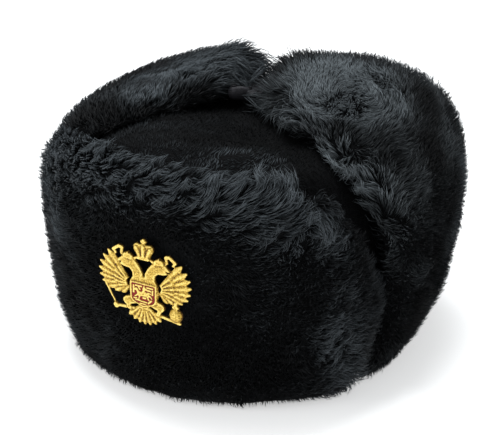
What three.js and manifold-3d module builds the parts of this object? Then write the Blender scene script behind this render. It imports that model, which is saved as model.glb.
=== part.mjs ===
// Fur cap with turned-up flaps: a soft crown, a front flap, two ear flaps that are tied together over the
// crown, a nape flap, the ribbons with their knot, and a cast metal badge pinned through the front flap.
// Millimetres, +Z up, front towards -Y, the wearer's left towards +X, standing on its rim at z = 0.

import * as THREE from 'three';
import { mergeVertices } from 'three/addons/utils/BufferGeometryUtils.js';
import Module from 'manifold-3d';

const wasm = await Module();
wasm.setup();

// Driving dimensions
const HEAD_HALF_WIDTH = 83; // half axes of the head opening, for a head of 58 cm
const HEAD_HALF_LENGTH = 101;
const CROWN_WALL = 6; // cloth, wadding and short pile
const GAP = 0.3; // clearance between neighbouring pieces
const PAD = 17; // full thickness of a flap with its pile
const FRONT_HEM = 7; // thickness of the front flap where it is sewn to the rim
const EAR_HEM = 9.5; // the same for the ear flaps and the nape flap
const PAD_RAMP = 40; // length from the hem over which a flap grows to its full thickness
const EDGE_ROUND = 13; // length over which a flap's free edge rounds off
const EDGE_HALF = 0.8; // half thickness that is left at such an edge
const HEM_LEAD = 2; // how far the hem's rounding starts below the hem
const LOCK_WIDTH = 18; // the pile's locks
const LOCK_LENGTH = 27;
const LOCK_RISE = 2.6;
const LOCK_PEAK = 0.7; // share of its length at which a lock stands highest
const LOCK_SHIFT = 0.35; // most that a row of locks is shifted, in lock widths
const FRONT_FLAP_HEIGHT = 146;
const FRONT_FLAP_HALF_ANGLE = 66; // degrees from the front that the flap reaches at the rim
const FRONT_SIDE_LOSS = 0.45; // share of its lean that is lost at its sides
const FRONT_SPREAD = 0.08; // share by which it widens towards its top
const RIBBON_WIDTH = 9;
const RIBBON_THICKNESS = 1.2;
const BADGE_RISE = 78.5; // height of the badge's middle above the rim
const BADGE_SIDE = 1.2; // how far it sits to the wearer's left of the middle
const BADGE_TILT = 4; // degrees that the badge leans forward with the flap
const BADGE_PRESS = 3; // how deep the badge presses into the pile
const POST_RADIUS = 1.5; // the badge's hidden post
const POST_LENGTH = 7;
const FINENESS = 0.08; // smallest step of a surface that is kept

const CROWN_HALF_WIDTH = HEAD_HALF_WIDTH + CROWN_WALL;
const CROWN_HALF_LENGTH = HEAD_HALF_LENGTH + CROWN_WALL;

const fur = { color: 0x17191b, roughness: 0.8, metalness: 0 };
const plush = { color: 0x101214, roughness: 0.9, metalness: 0 };
const satin = { color: 0x24242a, roughness: 0.4, metalness: 0 };
const gilt = { color: 0xd6ad48, roughness: 0.35, metalness: 1 };
const enamel = { color: 0x8a1f22, roughness: 0.25, metalness: 0 };

// Shared helpers

// A point at an angle in degrees from the front, positive towards the wearer's left.
function onOval(angle, halfWidth, halfLength, height) {
  const turn = THREE.MathUtils.degToRad(angle);
  return new THREE.Vector3(halfWidth * Math.sin(turn), -halfLength * Math.cos(turn), height);
}

// The triangles between two rows of point numbers that run the same way and may differ in length.
function stitched(first, second) {
  const faces = [];
  let i = 0;
  let j = 0;
  while (i < first.length - 1 || j < second.length - 1) {
    if ((i + 1) / (first.length - 1) <= (j + 1) / (second.length - 1)) {
      faces.push(first[i], first[i + 1], second[j]);
      i += 1;
    } else {
      faces.push(first[i], second[j + 1], second[j]);
      j += 1;
    }
  }
  return faces;
}

// A closed body through sections, each a loop of as many points, with a fan over either end.
function loftedBody(sections) {
  const perLoop = sections[0].length;
  const points = sections.flat();
  const loops = sections.map((_, s) => (
    Array.from({ length: perLoop + 1 }, (_, i) => s * perLoop + (i % perLoop))
  ));
  const faces = [];
  for (let s = 0; s + 1 < sections.length; s++) {
    faces.push(...stitched(loops[s], loops[s + 1]));
  }
  for (const section of [0, sections.length - 1]) {
    const middle = points.length;
    const centre = new THREE.Vector3();
    sections[section].forEach((p) => centre.add(p));
    points.push(centre.divideScalar(perLoop));
    for (let i = 0; i < perLoop; i++) {
      const [a, b] = [loops[section][i], loops[section][i + 1]];
      faces.push(...(section === 0 ? [b, a, middle] : [a, b, middle]));
    }
  }
  return facingOut(points, faces);
}

// The geometry of a closed set of faces, turned so that they point outwards.
function facingOut(points, faces) {
  let volume = 0;
  for (let i = 0; i < faces.length; i += 3) {
    const [a, b, c] = faces.slice(i, i + 3).map((k) => points[k]);
    volume += a.dot(b.clone().cross(c));
  }
  const geometry = new THREE.BufferGeometry().setFromPoints(points);
  geometry.setIndex(volume < 0 ? faces.toReversed() : faces);
  return geometry;
}

function solidFrom(geometry) {
  const bare = geometry.clone();
  bare.deleteAttribute('normal');
  bare.deleteAttribute('uv');
  const merged = mergeVertices(bare, 1e-4);
  return new wasm.Manifold(new wasm.Mesh({
    numProp: 3,
    vertProperties: new Float32Array(merged.getAttribute('position').array),
    triVerts: new Uint32Array(merged.index.array),
  }));
}

function geometryFrom(solid) {
  const mesh = solid.getMesh();
  const geometry = new THREE.BufferGeometry();
  geometry.setAttribute('position', new THREE.BufferAttribute(new Float32Array(mesh.vertProperties), 3));
  geometry.setIndex(new THREE.BufferAttribute(new Uint32Array(mesh.triVerts), 1));
  geometry.computeVertexNormals();
  return geometry;
}

const fused = (solids) => solids.reduce((whole, solid) => whole.add(solid));

// A joined or cut solid without the small faces that change its surface by less than a tolerance.
const lightened = (solid) => solid.asOriginal().simplify(FINENESS);

// A number from 0 to 1 that looks random and is always the same for the same place.
function scatter(row, column) {
  const wave = Math.sin(row * 12.9898 + column * 78.233) * 43758.5453;
  return wave - Math.floor(wave);
}

// Crown

// Meridian of the crown: reach is a share of the rim's half axes and rise a height in millimetres.
const CROWN_MERIDIAN = [
  { reach: 1.0, rise: 0 },
  { reach: 1.04, rise: 36 },
  { reach: 1.06, rise: 74 },
  { reach: 1.04, rise: 107 },
  { reach: 0.9, rise: 129 },
  { reach: 0.6, rise: 137 },
  { reach: 0.28, rise: 138 },
  { reach: 0.03, rise: 138 },
];

// Soft folds of the crown's top, each a bump or a dent that fades out over its spread.
const CROWN_FOLDS = [
  { x: -30, y: -76, spreadX: 36, spreadY: 13, lift: 4 },
  { x: 38, y: -68, spreadX: 32, spreadY: 13, lift: 7 },
  { x: 20, y: -42, spreadX: 38, spreadY: 13, lift: -6 },
  { x: -34, y: -40, spreadX: 30, spreadY: 15, lift: 3 },
  { x: 42, y: -10, spreadX: 24, spreadY: 26, lift: -3 },
  { x: 0, y: 70, spreadX: 55, spreadY: 24, lift: -4 },
];
const FOLDS_START = 60; // height at which the folds begin to show, and at which they are full
const FOLDS_FULL = 125;
const CROWN_SIDES = 36;
const OUTER_RINGS = 14;
const INNER_RINGS = 8;

const crownCurve = new THREE.SplineCurve(
  CROWN_MERIDIAN.map(({ reach, rise }) => new THREE.Vector2(reach, rise)),
);

function foldLift(x, y) {
  return CROWN_FOLDS.reduce((sum, fold) => {
    const across = (x - fold.x) / fold.spreadX;
    const along = (y - fold.y) / fold.spreadY;
    return sum + fold.lift * Math.exp(-across * across - along * along);
  }, 0);
}

// A point of the crown's surface, or of one that lies an offset outside it.
function crownPoint(angle, climb, offset) {
  const spot = crownCurve.getPoint(climb);
  const tangent = crownCurve.getTangent(climb);
  const slope = Math.hypot(CROWN_HALF_WIDTH * tangent.x, tangent.y);
  const outward = offset * (tangent.y / slope);
  const upward = offset * (-CROWN_HALF_WIDTH * tangent.x / slope);
  const halfWidth = Math.max(CROWN_HALF_WIDTH * spot.x + outward, 1);
  const halfLength = Math.max(CROWN_HALF_LENGTH * spot.x + outward, 1);
  const point = onOval(angle, halfWidth, halfLength, 0);
  const onTop = THREE.MathUtils.smoothstep(spot.y, FOLDS_START, FOLDS_FULL);
  return point.setZ(climb > 0 ? spot.y + upward + onTop * foldLift(point.x, point.y) : 0);
}

function crownRings(count, offset) {
  return Array.from({ length: count + 1 }, (_, ring) => (
    Array.from({ length: CROWN_SIDES }, (_, side) => (
      crownPoint((side * 360) / CROWN_SIDES, ring / count, offset)
    ))
  ));
}

function crownGeometry() {
  return loftedBody([...crownRings(OUTER_RINGS, 0).reverse(), ...crownRings(INNER_RINGS, -CROWN_WALL)]);
}

// The room that the crown takes, filled and grown by the gap, for cutting the pieces that lie against it.
function crownRoom() {
  const rings = crownRings(OUTER_RINGS, GAP);
  const below = rings[0].map((p) => p.clone().setZ(-GAP));
  return solidFrom(loftedBody([...rings.reverse(), below]));
}

// Padded flaps

// Half thickness of a pad: full in the middle, thinner at the hem, and rounded off at its edges.
function padHalf(hem, fromHem, toFreeEdge, toSide) {
  const full = THREE.MathUtils.lerp(hem, PAD, THREE.MathUtils.smoothstep(fromHem, 0, PAD_RAMP)) / 2;
  const round = (distance) => {
    const share = Math.min(Math.max(distance, 0) / EDGE_ROUND, 1);
    return Math.sqrt(Math.max(1 - (1 - share) ** 2, 0));
  };
  return Math.max(full * Math.min(round(fromHem + HEM_LEAD), round(toFreeEdge), round(toSide)), EDGE_HALF);
}

// How far the locks of the pile stand up at a place on a flap; each rises from its root to its tip.
function lockRise(across, along) {
  const row = Math.floor(along / LOCK_LENGTH);
  const shift = across / LOCK_WIDTH + 0.5 * (row % 2) + LOCK_SHIFT * scatter(row, 0.5);
  const column = Math.floor(shift);
  const climb = along / LOCK_LENGTH - row;
  const profile = Math.min(climb / LOCK_PEAK, (1 - climb) / (1 - LOCK_PEAK));
  return LOCK_RISE * profile * Math.sin(Math.PI * (shift - column)) * (0.5 + 0.5 * scatter(row, column));
}

// Shares from 0 to 1 that crowd a little towards both ends.
function crowded(count) {
  return Array.from({ length: count + 1 }, (_, i) => {
    const even = i / count;
    const eased = 0.5 - 0.5 * Math.cos(even * Math.PI);
    return 0.6 * even + 0.4 * eased;
  });
}

// A pad round a middle surface, with its own rows of points on the outer and the inner face.
function padSolid({ middle, half, rise, stations, outerRows, innerRows }) {
  const step = 1e-3;
  const faceAt = (u, v, side) => {
    const alongU = middle(u + step, v).sub(middle(u - step, v));
    const alongV = middle(u, Math.min(v + step, 1)).sub(middle(u, Math.max(v - step, 0)));
    const normal = alongU.cross(alongV).normalize();
    const thick = half(u, v);
    const locks = side > 0 ? rise(u, v) * Math.min(thick / (PAD / 2), 1) : 0;
    const point = middle(u, v).addScaledVector(normal, side * (thick + locks));
    return point.setZ(Math.max(point.z, 0));
  };
  const points = [];
  const rows = (shares, side) => stations.map((u) => shares.map((v) => points.push(faceAt(u, v, side)) - 1));
  const outer = rows(crowded(outerRows), 1);
  const inner = rows(crowded(innerRows), -1);
  const last = stations.length - 1;
  const faces = [];
  for (let k = 0; k < last; k++) {
    faces.push(...stitched(outer[k], outer[k + 1]), ...stitched(inner[k + 1], inner[k]));
  }
  faces.push(...stitched(inner[0], outer[0]), ...stitched(outer[last], inner[last]));
  faces.push(...stitched(outer.map((row) => row[0]), inner.map((row) => row[0])));
  faces.push(...stitched(inner.map((row) => row.at(-1)), outer.map((row) => row.at(-1))));
  return solidFrom(facingOut(points, faces));
}

// Sections of a tuft, from its root inside the flap to its tip.
const TUFT = [
  { along: -9, width: 6, depth: 2.6 },
  { along: 1, width: 8.5, depth: 4 },
  { along: 6.5, width: 4.2, depth: 1.6 },
];

// A flattened lock on a free edge, growing from a place on the middle surface in a direction.
function tuft(place, direction, flatTo, size) {
  const outward = direction.clone().normalize();
  const thin = flatTo.clone().addScaledVector(outward, -flatTo.dot(outward)).normalize();
  const wide = outward.clone().cross(thin);
  const sections = TUFT.map(({ along, width, depth }) => (
    [[1, 0], [0, 1], [-1, 0], [0, -1]].map(([w, d]) => (
      place.clone().addScaledVector(outward, along * size)
        .addScaledVector(wide, w * width).addScaledVector(thin, d * depth)
    ))
  ));
  return solidFrom(loftedBody(sections));
}

// Tufts along an edge, given as places with the directions that the pile grows in there.
function tuftsAlong(middle, spots) {
  const step = 1e-2;
  return spots.map(({ u, v, growU, growV }, i) => {
    const alongU = middle(u + step, v).sub(middle(u - step, v)).normalize();
    const alongV = middle(u, v).sub(middle(u, v - step)).normalize();
    const lean = growU + (scatter(i, 3) - 0.5) * 0.5 * growV;
    const direction = alongU.clone().multiplyScalar(lean).addScaledVector(alongV, growV);
    return tuft(middle(u, v), direction, alongU.clone().cross(alongV), 0.7 + 0.5 * scatter(i, 7));
  });
}

// Front flap

// How far the flap's middle surface leans out from the crown's side, by share of its height.
const FRONT_LEAN = [
  { share: 0, out: 0 },
  { share: 0.33, out: 10.5 },
  { share: 0.66, out: 18.5 },
  { share: 1, out: 21.5 },
];
// Where the flap's hem is fuller towards its sides: across runs from -1 at the wearer's right to 1.
const FRONT_CHEEKS = [
  { across: -0.68, spread: 0.28, extra: 5.5 },
  { across: 0.85, spread: 0.2, extra: 5 },
];
const FRONT_STATIONS = 30;
const FRONT_TUFTS = 13;
const FRONT_ARC = THREE.MathUtils.degToRad(FRONT_FLAP_HALF_ANGLE) * CROWN_HALF_LENGTH;
const frontLean = new THREE.SplineCurve(FRONT_LEAN.map(({ share, out }) => new THREE.Vector2(share, out)));

// Height of the flap over its width, at even steps from the wearer's right to the left: its upper corners
// are rounded, and the right one stands a little higher.
const FRONT_CREST = [64, 105, 136, 147, 148, 146, 144, 142, 133, 106, 60];
const frontCrest = new THREE.SplineCurve(FRONT_CREST.map((height, i) => new THREE.Vector2(i, height)));
const frontHeight = (u) => frontCrest.getPoint(THREE.MathUtils.clamp((u + 1) / 2, 0, 1)).y;

const frontHem = (u) => FRONT_CHEEKS.reduce(
  (hem, cheek) => hem + cheek.extra * Math.exp(-(((u - cheek.across) / cheek.spread) ** 2)),
  FRONT_HEM,
);

function frontMiddle(u, v) {
  const lean = frontLean.getPoint(v).y * (1 - FRONT_SIDE_LOSS * u * u);
  const away = GAP + frontHem(u) / 2 + lean;
  const angle = FRONT_FLAP_HALF_ANGLE * u * (1 + FRONT_SPREAD * v);
  return onOval(angle, CROWN_HALF_WIDTH + away, CROWN_HALF_LENGTH + away, frontHeight(u) * v);
}

function frontFlapSolid() {
  const half = (u, v) => {
    const height = frontHeight(u);
    return padHalf(frontHem(u), v * height, (1 - v) * height, (1 - Math.abs(u)) * FRONT_ARC);
  };
  const pad = padSolid({
    middle: frontMiddle,
    half,
    rise: (u, v) => lockRise((u + 1) * FRONT_ARC, v * FRONT_FLAP_HEIGHT),
    stations: crowded(FRONT_STATIONS).map((share) => share * 2 - 1),
    outerRows: 15,
    innerRows: 5,
  });
  const spots = Array.from({ length: FRONT_TUFTS }, (_, i) => (
    { u: THREE.MathUtils.lerp(-0.8, 0.8, i / (FRONT_TUFTS - 1)), v: 0.96, growU: 0, growV: 1 }
  ));
  return fused([pad, ...tuftsAlong(frontMiddle, spots)]);
}

// Ear flaps and nape flap

// Ribs of the turned-up flaps, counted from the left ear flap's front edge round the nape to the right one's.
// rim is the angle at the rim; swell, shoulder, crest and end are points of the middle surface on the way up.
const RIBS = [
  { rim: 70, swell: [104, -38, 56], shoulder: [98, -44, 106], crest: [58, -38, 139], end: [2, -1, 147] },
  { rim: 83, swell: [107, -18, 56], shoulder: [103, -22, 111], crest: [60, -14, 149], end: [-1, 12, 151] },
  { rim: 96, swell: [107, 12, 56], shoulder: [104, 12, 113], crest: [63, 16, 155], end: [-3, 30, 155] },
  { rim: 112, swell: [104, 45, 56], shoulder: [102, 46, 113], crest: [64, 44, 157], end: [-5, 48, 154.5] },
  { rim: 127, swell: [91, 73, 56], shoulder: [95, 77, 109], crest: [69, 70, 148], end: [12, 64, 151.5] },
  { rim: 140, swell: [76, 96, 54], shoulder: [82, 101, 99], crest: [77, 94, 128], end: [64, 84, 138] },
  { rim: 158, swell: [42, 114, 52], shoulder: [46, 125, 84], crest: [47, 129, 102], end: [46, 128, 114] },
  { rim: 180, swell: [0, 121, 52], shoulder: [0, 132, 82], crest: [0, 136, 98], end: [0, 136, 110] },
  { rim: 202, swell: [-42, 114, 52], shoulder: [-46, 125, 82], crest: [-47, 129, 100], end: [-46, 128, 112] },
  { rim: 220, swell: [-73, 94, 54], shoulder: [-82, 101, 96], crest: [-79, 95, 119], end: [-66, 86, 130] },
  { rim: 233, swell: [-90, 72, 56], shoulder: [-98, 78, 105], crest: [-77, 74, 130], end: [-50, 68, 139] },
  { rim: 248, swell: [-102, 44, 56], shoulder: [-107, 46, 110], crest: [-75, 47, 138], end: [-26, 46, 155] },
  { rim: 264, swell: [-107, 12, 56], shoulder: [-111, 11, 111], crest: [-76, 14, 141], end: [-18.5, 28, 158.5] },
  { rim: 277, swell: [-107, -18, 56], shoulder: [-111, -24, 110], crest: [-72, -28, 139], end: [-19, 6, 154] },
  { rim: 290, swell: [-104, -38, 56], shoulder: [-102, -52, 105], crest: [-62, -62, 133], end: [-25, -17, 144] },
];
const RIB_SPANS = RIBS.length - 1;
const RIB_PITCH = 28; // typical spacing of the ribs
const FLAP_LENGTH = 210; // typical length of an ear flap from hem to tip
const NOTCH_RIB = 5.2; // where the ear flap ends and the nape flap begins
const SEAM = 0.006; // half the gap at that seam, in ribs
const EAR_TUFTS = 6; // on the front edge of an ear flap, and as many on its tip

const rimAway = GAP + EAR_HEM / 2;
const guides = [
  RIBS.map((rib) => onOval(rib.rim, CROWN_HALF_WIDTH + rimAway, CROWN_HALF_LENGTH + rimAway, 0)),
  ...['swell', 'shoulder', 'crest', 'end'].map((key) => RIBS.map((rib) => new THREE.Vector3(...rib[key]))),
].map((points) => new THREE.CatmullRomCurve3(points, false, 'catmullrom', 0.5));

// The curve up a flap's middle surface at a rib number, which may lie between two ribs.
function ribCurve(u) {
  const share = THREE.MathUtils.clamp(u / RIB_SPANS, 0, 1);
  return new THREE.CatmullRomCurve3(guides.map((guide) => guide.getPoint(share)), false, 'catmullrom', 0.5);
}

const wrapMiddle = (u, v) => ribCurve(u).getPoint(v);

// A flap between two ribs; a side that is a free edge is rounded off, and one at a seam is not.
function wrapSolid({ from, to, stations, outerRows, innerRows, freeStart, freeEnd, spots }) {
  const half = (u, v) => {
    const length = ribCurve(u).getLength();
    const toStart = freeStart ? (u - from) * RIB_PITCH : Infinity;
    const toEnd = freeEnd ? (to - u) * RIB_PITCH : Infinity;
    return padHalf(EAR_HEM, v * length, (1 - v) * length, Math.min(toStart, toEnd));
  };
  const pad = padSolid({
    middle: wrapMiddle,
    half,
    rise: (u, v) => lockRise(u * RIB_PITCH, v * FLAP_LENGTH),
    stations: crowded(stations).map((share) => THREE.MathUtils.lerp(from, to, share)),
    outerRows,
    innerRows,
  });
  return fused([pad, ...tuftsAlong(wrapMiddle, spots)]);
}

// Places of the tufts on an ear flap: along its front edge and along its tip.
function earSpots(edge, inward) {
  return Array.from({ length: EAR_TUFTS }, (_, i) => [
    { u: edge + inward * 0.12, v: 0.5 + i * 0.08, growU: -inward, growV: 0.5 },
    { u: edge + inward * (0.3 + i * 0.62), v: 0.97, growU: 0, growV: 1 },
  ]).flat();
}

const leftEar = {
  from: 0,
  to: NOTCH_RIB - SEAM,
  stations: 17,
  outerRows: 20,
  innerRows: 7,
  freeStart: true,
  freeEnd: false,
  spots: earSpots(0, 1),
};
const nape = {
  ...leftEar,
  from: NOTCH_RIB + SEAM,
  to: RIB_SPANS - NOTCH_RIB - SEAM,
  stations: 12,
  freeStart: false,
  spots: [],
};
const rightEar = {
  ...leftEar,
  from: RIB_SPANS - NOTCH_RIB + SEAM,
  to: RIB_SPANS,
  freeStart: false,
  freeEnd: true,
  spots: earSpots(RIB_SPANS, -1),
};

// Ribbons and knot

const KNOT = new THREE.Vector3(-3.5, -3, 148); // middle of the knot, which hangs between the flaps' tips
const KNOT_HALF = new THREE.Vector3(4, 3.6, 3.5);
const RIBBON_STEPS = 6; // lengths that a ribbon is made of
const LOOP_LENGTH = 14;
const LOOP_BULGE = 5;
const LOOP_HEADING = 200; // degrees in plan, towards the front left of the picture
const LEFT_TIE = [[9, 15, 150.5], [4, 12, 150.5], [0, 5, 150], [-3.2, -1.5, 148.3]];
const RIGHT_TIE = [[-20, 16, 153], [-12, 15, 152], [-5, 9, 150], [-3, 1, 148.2]];

// A flat ribbon along a route, grown on all sides by a margin.
function ribbonSolid(route, margin) {
  const curve = new THREE.CatmullRomCurve3(route.map((p) => new THREE.Vector3(...p)));
  const up = new THREE.Vector3(0, 0, 1);
  const sections = Array.from({ length: RIBBON_STEPS + 1 }, (_, i) => {
    const tangent = curve.getTangent(i / RIBBON_STEPS);
    const wide = tangent.clone().cross(up).normalize().multiplyScalar(RIBBON_WIDTH / 2 + margin);
    const thin = wide.clone().cross(tangent).normalize().multiplyScalar(RIBBON_THICKNESS / 2 + margin);
    const shift = i === 0 ? -margin : 0;
    const centre = curve.getPoint(i / RIBBON_STEPS).addScaledVector(tangent, shift);
    return [[1, 1], [-1, 1], [-1, -1], [1, -1]].map(([w, t]) => (
      centre.clone().addScaledVector(wide, w).addScaledVector(thin, t)
    ));
  });
  return solidFrom(loftedBody(sections));
}

// The knot as a rounded lump, grown by a margin.
function knotLump(margin) {
  const lump = new THREE.SphereGeometry(1, 12, 8);
  lump.scale(KNOT_HALF.x + margin, KNOT_HALF.y + margin, KNOT_HALF.z + margin);
  lump.translate(KNOT.x, KNOT.y, KNOT.z);
  return solidFrom(lump);
}

// Points of a pear-shaped loop that leaves the origin along +X.
function pear(length, bulge, start) {
  const count = 18;
  return Array.from({ length: count }, (_, i) => {
    const turn = (2 * Math.PI * i) / count;
    const along = (1 - Math.cos(turn)) / 2;
    return new THREE.Vector2(start + length * along, bulge * Math.sin(turn) * (0.25 + 0.75 * along));
  });
}

// The knot with its one loop, a ribbon that stands on edge on the crown.
function knotSolid() {
  const inset = RIBBON_THICKNESS;
  const outline = new THREE.Shape(pear(LOOP_LENGTH, LOOP_BULGE, 0));
  const hollow = pear(LOOP_LENGTH - 2 * inset, LOOP_BULGE - 1.2 * inset, inset).reverse();
  outline.holes.push(new THREE.Path(hollow));
  const loop = new THREE.ExtrudeGeometry(outline, { depth: RIBBON_WIDTH, bevelEnabled: false });
  loop.rotateZ(THREE.MathUtils.degToRad(LOOP_HEADING));
  loop.translate(KNOT.x, KNOT.y, KNOT.z - KNOT_HALF.z);
  return knotLump(0).add(solidFrom(loop));
}

// Badge, drawn flat: x to the viewer's right, y up, z out of the flap, from z = 0 at its back

const SHIELD = [[-7, 0.4], [7, 0.4], [6.9, -8.6], [5.6, -10.2], [0, -12.2], [-5.6, -10.2], [-6.9, -8.6]];
const SHIELD_MIDDLE = -5.5;
const CAST_FOOT = -0.5; // the castings begin behind the badge's back, which is then cut flat
const BODY_TOP = 2; // heights of the castings over the back
const HEAD_TOP = 2.1;
const SMALL_CROWN_TOP = 2.5;
const FRAME_TOP = 2.6;
const FIGURE_TOP = 2.7;
const POCKET_FLOOR = 1.6;
const ENAMEL_TOP = 2.35;
const ENAMEL_GAP = 0.12;
const FRAME_WIDER = 1.14; // the shield's frame, as shares of the shield
const FRAME_LONGER = 1.12;
const CHEST = [
  [0, 4.6], [4, 3.4], [8.4, 1], [8.8, -4], [7.8, -9.5], [3.2, -12.6], [2.6, -14.5],
  [-2.6, -14.5], [-3.2, -12.6], [-7.8, -9.5], [-8.8, -4], [-8.4, 1], [-4, 3.4],
];
const NECK_AND_HEAD = [
  [1, 2], [0.6, 6.5], [2.4, 10], [4.6, 12.9], [7.5, 14.6], [10.5, 14.8], [13.2, 13.9], [15.8, 11.8],
  [15.4, 10.6], [12.8, 11.5], [14.4, 9.4], [11.6, 8.4], [8.6, 8.2], [6.9, 6.4], [6.6, 3.8], [8.4, 0.6],
];
const SMALL_CROWN = [
  [6.4, 13.4], [6.3, 15.6], [7.8, 16.8], [8.7, 16.8], [9.3, 18.2], [9.9, 16.9], [11, 17], [12.4, 15.7], [11.9, 13.8],
];
const BIG_CROWN_HALF = [
  [0, 14.8], [3.7, 14.8], [4.2, 17.5], [5.9, 20.2], [5.8, 22.6], [4, 23.9], [2, 23.3], [0.8, 23.9],
  [0.8, 24.5], [1.8, 24.6], [1.8, 25.8], [0.8, 25.9], [0.7, 26.8], [0, 26.8],
];
const FEATHER_HALF = 2.2; // half width of the first wing feather; each next one is a little narrower
const FEATHER_NARROWING = 0.07;
const COVERT_HALF = 1.9; // the same for the small feathers over them and for the tail
const FEATHER_TOP = 1.5;
const COVERT_TOP = 2.1;
const TAIL_TOP = 1.6;
const FEATHER_LAYER = 0.1; // how much higher every second feather lies
const WING_ROOT = [7.6, -1.2];
const WING_FEATHERS = [
  { angle: 49, reach: 22.4 },
  { angle: 37, reach: 22 },
  { angle: 25.5, reach: 21.7 },
  { angle: 14, reach: 21 },
  { angle: 3, reach: 20 },
  { angle: -8, reach: 18.6 },
  { angle: -20, reach: 16.2 },
  { angle: -33, reach: 12.8 },
  { angle: -49, reach: 9.6 },
];
const COVERTS = [
  { angle: 47, reach: 13.5 },
  { angle: 31, reach: 13.2 },
  { angle: 15, reach: 12.4 },
  { angle: -1, reach: 11.4 },
  { angle: -18, reach: 9.6 },
];
const TAIL_ROOT = [0, -11.4];
const TAIL_FEATHERS = [
  { angle: -90, reach: 13 },
  { angle: -75, reach: 13 },
  { angle: -59, reach: 13.2 },
  { angle: -43, reach: 13.4 },
];
// Sections of a feather, by share of its reach, with half widths as shares of its full half width.
const FEATHER = [
  { share: 0.25, half: 0.5, side: 0.65, ridge: 1 },
  { share: 0.82, half: 1, side: 0.5, ridge: 0.9 },
  { share: 1, half: 0.25, side: 0.35, ridge: 0.5 },
];
// Strokes of the ribbons, limbs, sceptre and orb: from one point to another, with a radius and a height.
const PAIRED_STROKES = [
  { from: [3.4, 15.6], to: [7, 13.6], radius: 0.7, high: 1.7 },
  { from: [11.6, 13.9], to: [13.6, 15.6], radius: 0.7, high: 1.4 },
  { from: [13.6, 15.6], to: [13, 18.9], radius: 0.8, high: 1.4 },
  { from: [13, 18.9], to: [15, 19.4], radius: 0.9, high: 1.6 },
  { from: [15, 19.4], to: [18.6, 16.6], radius: 0.9, high: 1.4 },
  { from: [18.6, 16.6], to: [17.2, 14.9], radius: 0.7, high: 1.2 },
  { from: [4.5, -9.5], to: [10.2, -11.4], radius: 2.4, high: 2.2 },
  { from: [10.4, -12], to: [8.6, -15.6], radius: 1.1, high: 2.2 },
];
const SCEPTRE_STROKES = [
  { from: [-23.6, -4.6], to: [-17.2, -15.8], radius: 0.5, high: 1.2 },
  { from: [-17.2, -16], to: [-16.8, -16.4], radius: 1.5, high: 2 },
  { from: [-17, -16.2], to: [-6.8, -15.4], radius: 0.8, high: 1.6 },
];
const ORB_STROKES = [
  { from: [6.8, -16], to: [21.4, -18.3], radius: 0.8, high: 1.6 },
  { from: [18.8, -10.6], to: [18.8, -6.8], radius: 0.9, high: 1.8 },
  { from: [17.4, -9], to: [20.2, -9], radius: 0.7, high: 1.8 },
];
const ORB = { x: 18.8, y: -13.9, radius: 4.1 };
const CROWN_STROKES = [
  { from: [-3.2, 15.7], to: [3.2, 15.7], radius: 0.8, high: 2.6 },
  { from: [0, 16.6], to: [0, 22.6], radius: 0.8, high: 2.6 },
  { from: [2.4, 17], to: [4.2, 21.6], radius: 0.7, high: 2.5 },
  { from: [-2.4, 17], to: [-4.2, 21.6], radius: 0.7, high: 2.5 },
];
// The plain mounted figure on the shield: horse, rider, cloak, lance and the beast below.
const RIDER_STROKES = [
  { from: [-2.4, -5.4], to: [2.6, -5], radius: 1.3 },
  { from: [-2.6, -5], to: [-4, -2.6], radius: 0.8 },
  { from: [-4, -2.6], to: [-5.3, -3.4], radius: 0.55 },
  { from: [-2.8, -5.8], to: [-4.8, -7.2], radius: 0.45 },
  { from: [-1.8, -6], to: [-2.6, -8.2], radius: 0.45 },
  { from: [2.4, -5.8], to: [3.6, -8.4], radius: 0.5 },
  { from: [3.4, -5], to: [5.4, -6.8], radius: 0.45 },
  { from: [0.2, -4.4], to: [0.5, -1.9], radius: 0.85 },
  { from: [0.6, -0.9], to: [0.6, -0.8], radius: 0.6 },
  { from: [1.2, -2], to: [4.8, -2.6], radius: 0.6 },
  { from: [-4.6, -9.2], to: [2.2, -9.8], radius: 0.5 },
];

const mirrored = (points) => points.map(([x, y]) => [-x, y]);
const mirroredStroke = (stroke) => ({ ...stroke, from: mirrored([stroke.from])[0], to: mirrored([stroke.to])[0] });

// A cast piece over an outline, with its edges broken by a small bevel.
function casting(points, low, high) {
  const bevel = 0.3;
  const outline = new THREE.Shape(points.map(([x, y]) => new THREE.Vector2(x, y)));
  const geometry = new THREE.ExtrudeGeometry(outline, {
    depth: high - low - 2 * bevel,
    bevelThickness: bevel,
    bevelSize: bevel,
    bevelOffset: -bevel,
    bevelSegments: 1,
  });
  return solidFrom(geometry.translate(0, 0, low + bevel));
}

// A bar with round ends between two points, grown by a margin.
function stroke({ from, to, radius, high }, low = 0, margin = 0) {
  const heading = Math.atan2(to[1] - from[1], to[0] - from[0]);
  const outline = new THREE.Shape();
  outline.absarc(to[0], to[1], radius + margin, heading - Math.PI / 2, heading + Math.PI / 2);
  outline.absarc(from[0], from[1], radius + margin, heading + Math.PI / 2, heading + Math.PI * 1.5);
  const geometry = new THREE.ExtrudeGeometry(outline, { depth: high - low, bevelEnabled: false, curveSegments: 2 });
  return solidFrom(geometry.translate(0, 0, low));
}

// One ridged feather that grows from a root at an angle in degrees.
function feather(root, angle, reach, halfWidth, high) {
  const turn = THREE.MathUtils.degToRad(angle);
  const at = (along, across, z) => new THREE.Vector3(
    root[0] + along * Math.cos(turn) - across * Math.sin(turn),
    root[1] + along * Math.sin(turn) + across * Math.cos(turn),
    z,
  );
  const sections = FEATHER.map(({ share, half, side, ridge }) => {
    const along = share * reach;
    const across = half * halfWidth;
    return [
      at(along, -across, CAST_FOOT), at(along, across, CAST_FOOT),
      at(along, across, side * high), at(along, 0, ridge * high), at(along, -across, side * high),
    ];
  });
  return solidFrom(loftedBody(sections));
}

const layer = (i) => FEATHER_LAYER * (i % 2);

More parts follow.
